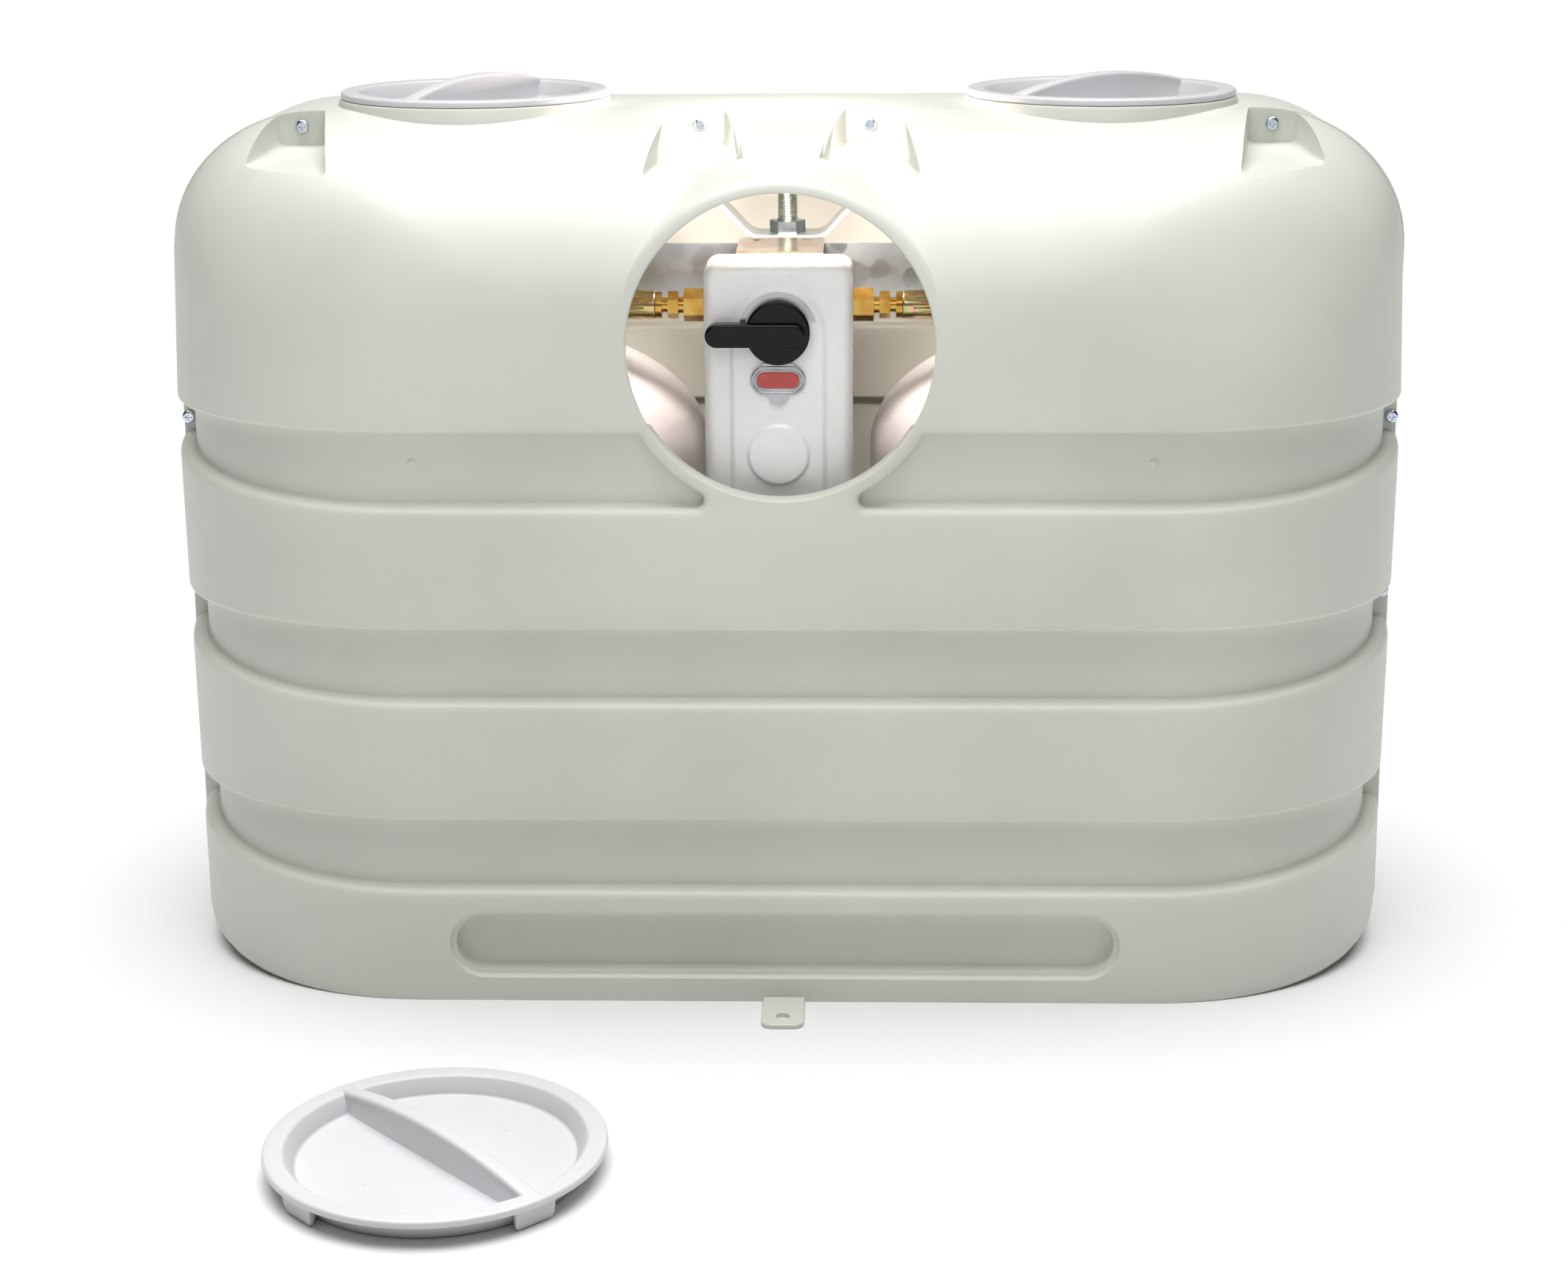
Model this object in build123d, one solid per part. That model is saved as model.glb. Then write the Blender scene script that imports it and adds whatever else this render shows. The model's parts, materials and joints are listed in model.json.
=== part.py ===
"""Twin propane tank set for a caravan drawbar.

Two 20 lb tanks stand on a rack, held down by a threaded rod and a strap. An automatic
changeover regulator hangs between them, and a two-shell plastic cover drops over all of it.
Millimetres, +Z up, front towards -Y. The origin is on the ground, on the hold-down rod's axis.
"""
from build123d import *
from math import acos, copysign, cos, pi, radians, sin, tan
import os

# ---- driving dimensions: tanks ----------------------------------------------------------
tank_spacing = 408.0           # between the tanks' axes
tank_radius = 152.4
tank_wall = 2.8
tank_height = 452.0            # foot ring to collar
tank_dome_top = 345.0
tank_head = 76.0               # height of each elliptical head
tank_low_dome = 24.0           # lowest point of the lower head
weld_width = 6.0
weld_proud = 1.0
dome_boss_radius = 22.0
dome_boss_rise = 6.0
foot_ring_radius = 101.6
foot_ring_height = 42.0
foot_slot = (40.0, 14.0)       # length and height of the ring's drain slots
foot_slot_z = 16.0
ring_wall = 3.0
collar_radius = 101.6
collar_lip = (2.0, 5.0)        # the rolled top edge stands out and is this high
collar_gap_angle = 100.0
hand_hole = (100.0, 28.0)
hand_hole_drop = 32.0          # collar top to the hand holes' middle
hand_hole_turn = 115.0

# ---- driving dimensions: valve and connector --------------------------------------------
valve_turn = 75.0              # outlet direction, outwards from straight ahead
valve_body_radius = 13.0
valve_sunk = 12.0              # thread in the dome boss
valve_shoulder = 19.0          # body above the outlet axis
gland_radius = 9.0
gland_height = 6.0
outlet_thread_radius = 16.6
outlet_height = 30.0           # outlet axis above the dome
outlet_length = 42.0
outlet_bore = 7.0
outlet_bore_start = 14.0
relief_radius = 9.0
relief_reach = 24.0
relief_flats = 20.0
relief_hex = 10.0
relief_drop = 6.0
stem_radius = 4.0
stem_below = 6.0               # stem's lower end above the outlet axis
handwheel_radius = 27.0
handwheel_height = 14.0
handwheel_rise = 27.0          # underside above the outlet axis
handwheel_lobes = 6
handwheel_hub = 7.0
connector_radius = 24.0
connector_length = 36.0
connector_thread = 12.0        # overlap with the outlet's thread
connector_gap = 0.5
connector_flutes = 12
seal_radius = 13.0
seal_thickness = 1.2
tailpiece_radius = 9.0
tailpiece_length = 24.0        # nipple beyond the outlet's end
nozzle_radius = 6.6
nozzle_length = 18.0
nipple_bore = 3.0
tank_crimp_length = 16.0

# ---- driving dimensions: rack and hold-down ---------------------------------------------
rack_height = 38.0
rack_sheet = 3.0
rack_bar_width = 110.0
rack_bar_depth = 200.0
rack_bar_corner = 12.0
rack_bolt_x = 70.0
rack_bolt_y = 166.0
rack_bolt_radius = 5.25
channel_width = 64.0
channel_overhang = 60.0        # beyond each tank's axis
tray_room = 7.4                # between the foot ring and the tray's rim
tray_rim = 14.0
tray_hole_radius = 45.0

rod_radius = 6.35
rod_above_collar = 10.0
rod_below_nut = 4.0
rod_clearance = 0.4
nut_flats = 19.0
nut_height = 7.5
lock_nut_height = 3.0
thread_gap = 0.05

strap_drop = 53.0              # collar top to the strap's flat middle
strap_thickness = 2.5
strap_flat = 45.0
strap_width = 30.0
strap_slope = 47.0
strap_overlap = 21.6           # strap end beyond the collar's near side
strap_knee = 12.0
strap_shoulder = 8.0

plate_thickness = 2.0
plate_room = 10.4              # cross plate's end to the collar's near side
plate_above_strap = 4.0
plate_height = 38.0
plate_corner = 5.0
tongue_width = 44.0
tongue_thickness = 2.5
tongue_back = 18.0
clip_width = 51.0
clip_thickness = 1.5
clip_reach = 44.5              # housing's back to the cross plate
clip_drop = 22.0
clip_beyond = 12.0
clip_tongue_inset = 14.0
clip_notch = (15.0, 6.0, 4.0)  # place, width and depth of the two notches

# ---- driving dimensions: regulator and hoses --------------------------------------------
regulator_x = -2.0
window_set_back = 30.5         # cover's face to the housing's front
housing_width = 86.0
housing_height = 172.0
housing_depth = 40.0
housing_wall = 2.5
housing_corner = 8.0
panel_width = 58.0
panel_rise = 2.0
panel_margin = 4.0
knob_drop = 38.0               # the four drops are measured down from the housing's top
indicator_drop = 66.2
bump_drop = 110.3
inlet_drop = 26.6
inlet_depth = 22.5             # inlet axis behind the housing's front
knob_radius = 18.5
knob_thickness = 7.0
lever_reach = 41.5
lever_tail = 2.5               # lever stops this far inside the knob's edge
lever_height = 13.4
lever_rise = 4.5
lever_sunk = 1.5
lever_offset = -1.0
soft_edge = 1.5
axle_radius = 4.0
axle_length = 24.0
axle_in_knob = 4.0
running_gap = 0.08
part_gap = 0.4
dial_ring = 3.0
dial_gap = 1.0
dial_from = 6.0                # the arc starts this far above the knob's middle
trim_thickness = 0.8
bezel_length = 32.0
bezel_height = 17.2
bezel_thickness = 1.2
bezel_neck = 18.0
bezel_foot_radius = 6.0
indicator_length = 24.5
indicator_height = 9.6
indicator_thickness = 1.6
bump_radius = 19.2
bump_rise = 2.0
cast_side_gap = 7.0            # housing side to the cast body
cast_foot = 16.0
cast_head = 8.0
cast_corner = 10.0
diaphragm_rise = 74.0          # above the housing's foot
diaphragm_proud = 3.0
diaphragm_thickness = 8.0
diaphragm_screws = 6
spring_cap_radius = 16.0
inlet_stub_radius = 6.2
inlet_stub_length = 14.0
outlet_boss_radius = 12.0
outlet_boss_reach = 10.0
outlet_radius = 7.6
outlet_depth = 14.0
inlet_nut_flats = 16.8
inlet_nut_length = 12.0
nipple_flats = 13.8
nipple_hex = (15.3, 6.0)       # where the nipple's hexagon starts, and its length
nipple_neck = 4.8
neck_gap = 1.0
nipple_waist = 4.3
nipple_flange = 7.8
nipple_flange_start = 24.8
nipple_inner = 2.6
crimp_start = 28.5             # housing side to the crimp sleeve
crimp_length = 30.0
crimp_radius = 8.3
crimp_flutes = 8
hose_radius = 4.6

# ---- driving dimensions: cover ----------------------------------------------------------
side_room = 18.6               # tank to the outside of the flange
face_room = 22.6               # tank to the cover's face
top_room = 29.0                # collar to the cover's top
front_depth = 131.0            # parting plane to the front face
cover_wall = 3.0
flange_thickness = 3.0
flange_proud = 2.0             # the flange stands this far outside the bands
corner_width = 153.0           # rounding of the face into the sides, across
top_drop = 104.0               # rounding of the face into the top, downwards
corner_rx = 91.0               # upper corners of the front outline
corner_rz = 82.0
foot_radius = 24.0             # lower corners of the flange
foot_sharp = 2.0               # the same corners at the face
form_steps = 6                 # sections from the parting plane to the face
cavity_below = 20.0            # the hollow runs out under the foot

groove_count = 3
groove_pitch = 117.3
groove_low = 70.5              # lower edge of the lowest groove, at the face
groove_height = 44.5
groove_depth = 10.0
groove_rise = 20.0             # draft: the lower edge climbs this much towards the flange

window_drop = 43.5             # housing's top to the window's middle
window_radius = 87.5
collar_wall = 4.5
collar_root = 10.4             # collar goes on this far past the cover's surface
recess_z = 36.2                # panel recess in the lowest band
recess_length = 395.0
recess_height = 36.0
recess_depth = 11.0
tab_width = 25.0
tab_length = 40.0
tab_thickness = 3.0
tab_corner = 6.0
tab_hole_radius = 4.3
tab_hole_reach = 28.0

cap_inwards = 13.0             # top caps' middles, inwards from the tanks' axes
cap_boss_rise = 4.0            # boss above the cover's top
cap_boss_edge = 1.0            # boss beyond the cap's rim
top_hole_radius = 78.0
inner_pocket_x = 50.5
outer_pocket_in = 7.0          # outer pockets, outwards from where the corner starts
pocket_width = 28.5
pocket_flare = 58.0
pocket_length = 90.0
pocket_drop = 20.5
pocket_slope = 9.0
screw_head_radius = 4.0
screw_head_height = 2.6
screw_shank = 2.1
screw_hole = 2.2
screw_slot = (4.4, 1.1, 1.4)   # length, width and depth of the cross recess
screw_beyond = 6.0
screw_side_z = (333.0, 223.0)
clip_nut_size = (9.0, 1.5, 10.0)

# ---- driving dimensions: caps -----------------------------------------------------------
cap_overlap = 3.5              # rim beyond the hole
cap_rim = 4.0
cap_rim_round = 1.6
cap_dish_depth = 13.0
cap_floor = 3.0
cap_skirt_gap = 2.5            # between the cap's skirt and the hole
cap_skirt_wall = 4.0
cap_dish_taper = 6.0
cap_bar_width = 16.0
cap_bar_rise = 9.0
cap_bar_end = 5.0              # bar stops this far inside the rim
cap_hook_height = 12.0
cap_hook_angle = 16.0
cap_hook_gap = 0.6
cap_seat_gap = 0.3
loose_cap_x = -178.0
loose_cap_y = -394.0
loose_cap_turn = -46.5
top_cap_turn = (66.0, 44.0)

# ---- derived places ---------------------------------------------------------------------
tank_x = tank_spacing / 2
tank_z = rack_height
collar_top = tank_z + tank_height
dome_z = tank_z + tank_dome_top
outlet_z = dome_z + outlet_height
connector_end = outlet_length + tailpiece_length

cover_width = tank_spacing + 2 * (tank_radius + side_room)
cover_height = collar_top + top_room
cover_depth = 2 * (tank_radius + face_room)
rear_depth = cover_depth - front_depth
front_y = -cover_depth / 2
part_y = front_y + front_depth
half_width = cover_width / 2 - flange_proud
cap_x = tank_x - cap_inwards
pocket_x = (inner_pocket_x, half_width - corner_rx + outer_pocket_in)

strap_z = collar_top - strap_drop
plate_top = strap_z + plate_above_strap
tongue_top = strap_z - lock_nut_height
housing_top = plate_top
housing_front = front_y + window_set_back
housing_back = housing_front + housing_depth
housing_low = housing_top - housing_height
panel_front = housing_front - panel_rise
plate_y = housing_back + clip_reach
knob_z = housing_top - knob_drop
inlet_y = housing_front + inlet_depth
inlet_z = housing_top - inlet_drop
window_z = housing_top - window_drop
# the collar reaches back to where its top meets the cover's rounding
collar_meets = acos((window_z + window_radius + collar_wall - cover_height + top_drop) / top_drop)
collar_reach = front_depth * (1 - sin(collar_meets)) + collar_root

far = 2 * cover_width          # longer than anything here
proud = 1.0                    # a cut starts this far outside what it cuts
bite = 1.0                     # a joined piece starts this far inside its neighbour
sides = (("left", -1), ("right", 1))
BASE = (Align.CENTER, Align.CENTER, Align.MIN)


def keep(name, shape):
    """Write one piece to its own file."""
    export_step(shape, f"parts/{name}.step")


def upright(y):
    """Plane facing the front at depth y: local x is +X, local y is +Z."""
    return Plane(origin=(0, y, 0), x_dir=(1, 0, 0), z_dir=(0, -1, 0))


def rod(start, direction, radius, length):
    """Round bar from a point along a direction."""
    return Plane(origin=start, z_dir=direction) * Cylinder(radius, length, align=BASE)


def pipe(start, direction, outer, inner, length):
    """Tube from a point along a direction."""
    return rod(start, direction, outer, length) - rod(start, direction, inner, length)


def hex_bar(start, direction, flats, length):
    """Hexagonal bar from a point along a direction."""
    across = (1, 0, 0) if abs(direction[2]) > 0.5 else (0, 0, 1)
    base = Plane(origin=start, x_dir=across, z_dir=direction)
    return extrude(base * RegularPolygon(flats / 2, 6, major_radius=False), length)


def slab(x, y, z):
    """Box between two corners given as three (low, high) pairs."""
    size = [pair[1] - pair[0] for pair in (x, y, z)]
    middle = [(pair[0] + pair[1]) / 2 for pair in (x, y, z)]
    return Pos(*middle) * Box(*size)


def fluted(form, start, aim, ring, radius, count, length):
    """Form with round flutes cut along it, their middles on a ring."""
    plane = Plane(origin=start, x_dir=(0, 0, 1), z_dir=aim)
    for i in range(count):
        turn = radians(360 * i / count)
        form -= extrude(plane * Pos(ring * cos(turn), ring * sin(turn)) * Circle(radius), length)
    return form


# ---- cover ------------------------------------------------------------------------------
def outline(width, top, rx, rz, bottom, foot):
    """Cover outline seen from the front: elliptical upper corners, small lower corners."""
    edges = [
        Line((foot - width, bottom), (width - foot, bottom)),
        CenterArc((width - foot, bottom + foot), foot, 270, 90),
        Line((width, bottom + foot), (width, top - rz)),
        EllipticalCenterArc((width - rx, top - rz), rx, rz, 0, arc_size=90),
        Line((width - rx, top), (rx - width, top)),
        EllipticalCenterArc((rx - width, top - rz), rx, rz, 90, arc_size=90),
        Line((-width, top - rz), (-width, bottom + foot)),
        CenterArc((foot - width, bottom + foot), foot, 180, 90),
    ]
    return make_face(Wire(edges))


def level_and_foot(inset):
    """Lowest level of a form and its lower corner radius: a hollow runs out under the foot."""
    return (-cavity_below, foot_sharp / 2) if inset else (0, foot_radius)


def cushion(inset):
    """Rounded form of a shell, shrunk by inset, from the parting plane (y = 0) forwards."""
    bottom, flange_foot = level_and_foot(inset)
    face_foot = min(foot_sharp, flange_foot)
    sections = []
    for i in range(form_steps + 1):
        turn = radians(90 * i / form_steps)
        width = half_width - corner_width + (corner_width - inset) * cos(turn)
        top = cover_height - top_drop + (top_drop - inset) * cos(turn)
        foot = face_foot + (flange_foot - face_foot) * cos(turn) ** 2
        face = outline(width, top, corner_rx - inset, corner_rz - inset, bottom, foot)
        sections.append(upright(-(front_depth - inset) * sin(turn)) * face)
    return loft(sections)


def body(inset, depth):
    """Rounded form of one shell, with its straight stretch behind the parting plane."""
    straight = depth - front_depth
    form = cushion(inset)
    if straight > 0:
        bottom, foot = level_and_foot(inset)
        face = outline(half_width - inset, cover_height - inset, corner_rx - inset, corner_rz - inset, bottom, foot)
        form = Pos(0, -straight, 0) * form + extrude(upright(0) * face, straight)
    return form


def groove(index, grow, depth):
    """Side-profile wedge of one groove, right across the cover."""
    low = groove_low + index * groove_pitch
    high = low + groove_height
    outside = groove_pitch
    points = [(-depth - outside, low - grow), (-depth, low - grow), (0, low + groove_rise - grow),
              (outside, low + groove_rise - grow), (outside, high + grow), (-depth - outside, high + grow)]
    face = make_face(Polyline(*points, close=True))
    return Plane.YZ * extrude(face, far / 2, both=True)


def grooved(inset, depth):
    """Shell form with the grooves let in."""
    form = body(inset, depth)
    core = body(inset + groove_depth, depth)
    for index in range(groove_count):
        form -= groove(index, inset, depth) - core
    return form


def pocket(x, grow):
    """Screw pocket let into the top just before the flange, with a sloping floor."""
    floor = cover_height - pocket_drop - grow
    front_floor = floor - pocket_slope
    above = cover_height + top_drop
    beyond = pocket_length + front_depth
    side = [(proud, above), (proud, floor), (0, floor), (-pocket_length, front_floor), (-beyond, front_floor),
            (-beyond, above)]
    ramp = Plane.YZ * extrude(make_face(Polyline(*side, close=True)), far / 2, both=True)
    near = pocket_width / 2 + grow
    wide = pocket_flare / 2 + grow
    plan = [(x - near, proud), (x + near, proud), (x + wide, -pocket_length), (x + wide, -beyond),
            (x - wide, -beyond), (x - wide, -pocket_length)]
    return ramp & extrude(make_face(Polyline(*plan, close=True)), far)


def top_boss(side, cap_y):
    """Raised round seat of one top cap, as far as it lies on this shell."""
    low = cover_height - top_drop / 2
    radius = top_hole_radius + cap_overlap + cap_boss_edge
    boss = rod((side * cap_x, cap_y, low), (0, 0, 1), radius, cover_height + cap_boss_rise - low)
    return boss & slab((-far, far), (-far, 0), (0, far))


def recess(grow, depth, face_y):
    """Long rounded panel recess in the lowest band."""
    shape = Pos(0, recess_z) * SlotOverall(recess_length + 2 * grow, recess_height + 2 * grow)
    return extrude(upright(face_y) * shape, -depth)


def flange():
    """Flat rim at the parting plane, with a pad behind each screw pocket."""
    inset = groove_depth + cover_wall
    rim = outline(half_width + flange_proud, cover_height, corner_rx, corner_rz, 0, foot_radius)
    inner = outline(half_width - inset, cover_height - inset, corner_rx - groove_depth, corner_rz - groove_depth,
                    -cavity_below, foot_sharp / 2)
    form = extrude(upright(0) * (rim - inner), flange_thickness)
    half = pocket_width / 2 + cover_wall
    for x in pocket_x:
        for _, side in sides:
            pad = slab((side * x - half, side * x + half), (-far, far),
                       (cover_height - pocket_drop - cover_wall, cover_height + proud))
            form += extrude(upright(0) * rim, flange_thickness) & pad
    return form


def shell(depth, is_front):
    """One half of the cover, with the parting plane at y = 0 and its face towards -Y."""
    face_y = -depth
    # the cap holes sit on the cover's middle line, which is behind the front shell's own flange
    cap_y = -part_y if is_front else part_y
    outer = grooved(0, depth)
    cavity = grooved(cover_wall, depth)
    for _, side in sides:
        outer += top_boss(side, cap_y)
    outer += rod((0, face_y, window_z), (0, 1, 0), window_radius + collar_wall, collar_reach)
    if is_front:
        for x in pocket_x:
            for _, side in sides:
                outer -= pocket(side * x, 0)
                cavity -= pocket(side * x, cover_wall)
        outer -= recess(0, recess_depth, face_y)
        cavity -= recess(cover_wall, recess_depth + cover_wall, face_y)
    else:
        # blind window: inside the collar the rounded form goes on unbroken
        disc = rod((0, face_y, window_z), (0, 1, 0), window_radius, collar_reach)
        outer -= disc - body(0, depth)
        cavity += disc & body(cover_wall, depth)
    form = outer - cavity + flange()
    for _, side in sides:
        form -= rod((side * cap_x, cap_y, cover_height - top_drop), (0, 0, 1), top_hole_radius, top_drop * 2)
    if is_front:
        form -= rod((0, face_y - proud, window_z), (0, 1, 0), window_radius, collar_reach + collar_root)
        form += tab(face_y)
    for x, z in screw_places():
        form -= rod((x, -flange_thickness - proud, z), (0, 1, 0), screw_hole, flange_thickness + 2 * proud)
    return form


def tab(face_y):
    """Fixing tab at the foot of the front face."""
    plate = slab((-tab_width / 2, tab_width / 2), (face_y - tab_length, face_y + cover_wall),
                 (0, tab_thickness))
    corners = [e for e in plate.edges().filter_by(Axis.Z) if e.center().Y < face_y]
    plate = fillet(corners, tab_corner)
    return plate - rod((0, face_y - tab_hole_reach, 0), (0, 0, 1), tab_hole_radius, tab_thickness)


def screw_places():
    """Flange screws as (x, z): four along the top, two down each side."""
    side_x = half_width - groove_depth / 2 + flange_proud / 2
    top_z = cover_height - pocket_drop / 2 + proud
    top = [(side * x, top_z) for x in pocket_x for _, side in sides]
    return top + [(side * side_x, z) for z in screw_side_z for _, side in sides]


# ---- caps -------------------------------------------------------------------------------
def cap(hole_radius, turn):
    """Push-in cap with a finger bar across its dish. The rim's underside is at z = 0."""
    rim = hole_radius + cap_overlap
    skirt = hole_radius - cap_skirt_gap
    dish = skirt - cap_skirt_wall
    floor = dish - cap_dish_taper
    low_skirt = skirt - cap_dish_taper
    low = cap_rim - cap_dish_depth
    profile = [(0, low), (floor, low), (dish, cap_rim), (rim, cap_rim), (rim, 0), (skirt, 0),
               (low_skirt, low - cap_floor), (0, low - cap_floor)]
    form = revolve(Plane.XZ * make_face(Polyline(*profile, close=True)), Axis.Z)
    edge = [e for e in form.edges().filter_by(GeomType.CIRCLE) if abs(e.radius - rim) < 0.01]
    form = fillet(edge, cap_rim_round)
    end = rim - cap_bar_end
    foot = cap_rim - bite / 2
    arch = [
        ThreePointArc((-end, foot), (0, cap_rim + cap_bar_rise), (end, foot)),
        Polyline((end, foot), (dish + bite, cap_rim - bite), (floor + bite, low - bite), (-floor - bite, low - bite),
                 (-dish - bite, cap_rim - bite), (-end, foot)),
    ]
    edges = [e for part in arch for e in part.edges()]
    form += Plane.XZ * extrude(make_face(Wire(edges)), cap_bar_width / 2, both=True)
    ring = pipe((0, 0, -cap_hook_height), (0, 0, 1), hole_radius - cap_hook_gap, low_skirt - bite,
                cap_hook_height + bite)
    half = hole_radius * tan(radians(cap_hook_angle / 2))
    for quarter in range(4):
        form += Rot(0, 0, 90 * quarter) * (ring & slab((0, far), (-half, half), (-far, far)))
    return Rot(0, 0, turn) * form


# ---- tanks ------------------------------------------------------------------------------
def tank_form(inset):
    """Tank with two elliptical heads, standing on z = 0, shrunk by inset."""
    radius = tank_radius - inset
    head = tank_head - inset
    high = tank_dome_top - tank_head
    low = tank_low_dome + tank_head
    edges = [
        EllipticalCenterArc((0, high), radius, head, 0, arc_size=90),
        Line((0, high + head), (0, low - head)),
        EllipticalCenterArc((0, low), radius, head, 270, arc_size=90),
        Line((radius, low), (radius, high)),
    ]
    return revolve(Plane.XZ * make_face(Wire(edges)), Axis.Z)


def sector(radius, middle, angle, top):
    """Pie slice that cuts a ring, from z = 0 up: middle direction and full angle in degrees."""
    reach = 3 * radius
    half = radians(angle / 2)
    points = [(0, 0), (reach * cos(half), -reach * sin(half)), (2 * reach, 0),
              (reach * cos(half), reach * sin(half))]
    return Rot(0, 0, middle) * extrude(make_face(Polyline(*points, close=True)), top)


def side_slot(size, z):
    """Long hole cut outwards along +X at height z."""
    plane = Plane(origin=(0, 0, z), x_dir=(0, 1, 0), z_dir=(1, 0, 0))
    return extrude(plane * SlotOverall(*size), far)


def tank_pieces(side):
    """Shell, foot ring and collar of one tank, in its own place."""
    place = Pos(side * tank_x, 0, tank_z)
    up = (0, 0, 1)
    outer = tank_form(0)
    seam_z = (tank_dome_top + tank_low_dome - weld_width) / 2
    hull = outer + pipe((0, 0, seam_z), up, tank_radius + weld_proud, tank_radius - bite, weld_width)
    hull += rod((0, 0, tank_dome_top - dome_boss_rise), up, dome_boss_radius, 2 * dome_boss_rise)
    hull -= tank_form(tank_wall)
    hull -= rod((0, 0, tank_dome_top - dome_boss_radius), up, valve_body_radius + thread_gap, 2 * dome_boss_radius)
    foot = pipe((0, 0, 0), up, foot_ring_radius, foot_ring_radius - ring_wall, foot_ring_height + dome_boss_rise)
    for i in range(4):
        foot -= Rot(0, 0, 90 * i + 45) * side_slot(foot_slot, foot_slot_z)
    foot -= outer
    aim = outlet_angle(side)
    start = tank_dome_top - tank_head
    lip_out, lip_high = collar_lip
    ring = pipe((0, 0, start), up, collar_radius, collar_radius - ring_wall, tank_height - start)
    ring += pipe((0, 0, tank_height - lip_high), up, collar_radius + lip_out, collar_radius - ring_wall, lip_high)
    ring -= outer
    ring -= sector(collar_radius, aim, collar_gap_angle, tank_height + proud)
    for turn in (-hand_hole_turn, hand_hole_turn):
        ring -= Rot(0, 0, aim + turn) * side_slot(hand_hole, tank_height - hand_hole_drop)
    return place * hull, place * foot, place * ring


def outlet_angle(side):
    """Direction of the tank valve's outlet, in degrees from +X."""
    return 270 + side * valve_turn


def outlet_aim(side):
    """The same direction as a vector."""
    turn = radians(outlet_angle(side))
    return (cos(turn), sin(turn), 0)


def outlet_axis(side, reach):
    """Point on the tank outlet's axis at a distance from the tank's own axis."""
    aim = outlet_aim(side)
    return (side * tank_x + reach * aim[0], reach * aim[1], outlet_z)


def valve(side):
    """Brass service valve with its threaded outlet and relief plug."""
    x = side * tank_x
    up = (0, 0, 1)
    aim = outlet_aim(side)
    back = (-aim[0], -aim[1], 0)
    shoulder = outlet_z + valve_shoulder
    low = dome_z - valve_sunk
    relief_z = outlet_z - relief_drop
    form = rod((x, 0, low), up, valve_body_radius, shoulder - low)
    form += rod((x, 0, shoulder), up, gland_radius, gland_height)
    form += rod(outlet_axis(side, 0), aim, outlet_thread_radius, outlet_length)
    form += rod((x, 0, relief_z), back, relief_radius, relief_reach)
    form += hex_bar((x + back[0] * relief_reach, back[1] * relief_reach, relief_z), back, relief_flats, relief_hex)
    form -= rod(outlet_axis(side, outlet_bore_start), aim, outlet_bore, outlet_length)
    stem_hole = outlet_z + stem_below - proud
    return form - rod((x, 0, stem_hole), up, stem_radius + running_gap, handwheel_rise + handwheel_height)


def handwheel(side):
    """Lobed handwheel with its stem."""
    x = side * tank_x
    up = (0, 0, 1)
    z = outlet_z + handwheel_rise
    dish = handwheel_height * 0.3
    form = rod((x, 0, z), up, handwheel_radius, handwheel_height)
    form -= rod((x, 0, z + handwheel_height - dish), up, handwheel_radius - 6, dish + proud)
    for i in range(handwheel_lobes):
        turn = radians(360 * i / handwheel_lobes)
        reach = handwheel_radius + handwheel_hub
        form -= rod((x + reach * cos(turn), reach * sin(turn), z - proud), up, 10, handwheel_height + 2 * proud)
    form += rod((x, 0, z), up, handwheel_hub, handwheel_height)
    return form + rod((x, 0, outlet_z + stem_below), up, stem_radius, handwheel_rise - stem_below + bite)


def connector_nut(side):
    """Hand nut that screws on to the tank's outlet."""
    start = outlet_length - connector_thread
    aim = outlet_aim(side)
    form = rod(outlet_axis(side, start), aim, connector_radius, connector_length)
    form = fluted(form, outlet_axis(side, start - proud), aim, connector_radius + 2, 4, connector_flutes,
                  connector_length * 0.8)
    form -= rod(outlet_axis(side, start - proud), aim, outlet_thread_radius + connector_gap,
                connector_thread + seal_thickness + 1.3)
    return form - rod(outlet_axis(side, start), aim, tailpiece_radius + connector_gap, connector_length + proud)


def connector_nipple(side):
    """Brass nipple inside the hand nut, with the shoulder that the nut pulls on."""
    aim = outlet_aim(side)
    start = outlet_length - nozzle_length
    form = rod(outlet_axis(side, start), aim, nozzle_radius, nozzle_length + bite)
    form += rod(outlet_axis(side, outlet_length), aim, seal_radius, seal_thickness)
    form += rod(outlet_axis(side, outlet_length), aim, tailpiece_radius, tailpiece_length)
    return form - rod(outlet_axis(side, start - proud), aim, nipple_bore, far)


# ---- hoses ------------------------------------------------------------------------------
def route(side):
    """Points of one hose, from the sleeve at the regulator to the sleeve at the tank."""
    start = (regulator_x + side * (housing_width / 2 + crimp_start + crimp_length), inlet_y, inlet_z)
    middle = [(130, inlet_y, inlet_z), (165, -124.5, 410), (200, -130.5, 402), (232, -135, 395.5),
              (259, -136.8, 391), (284, -135, 388.5), (305.3, -127.8, 388.7), (321.7, -114.8, 391.2),
              (332.2, -97, 396), (335.5, -76.5, 401.8), (331.2, -56.3, 407.3), (319.9, -39.2, 411.3)]
    tank_end = connector_end + tank_crimp_length
    return ([start] + [(side * x, y, z) for x, y, z in middle]
            + [outlet_axis(side, tank_end + 21.0), outlet_axis(side, tank_end)])


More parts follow.
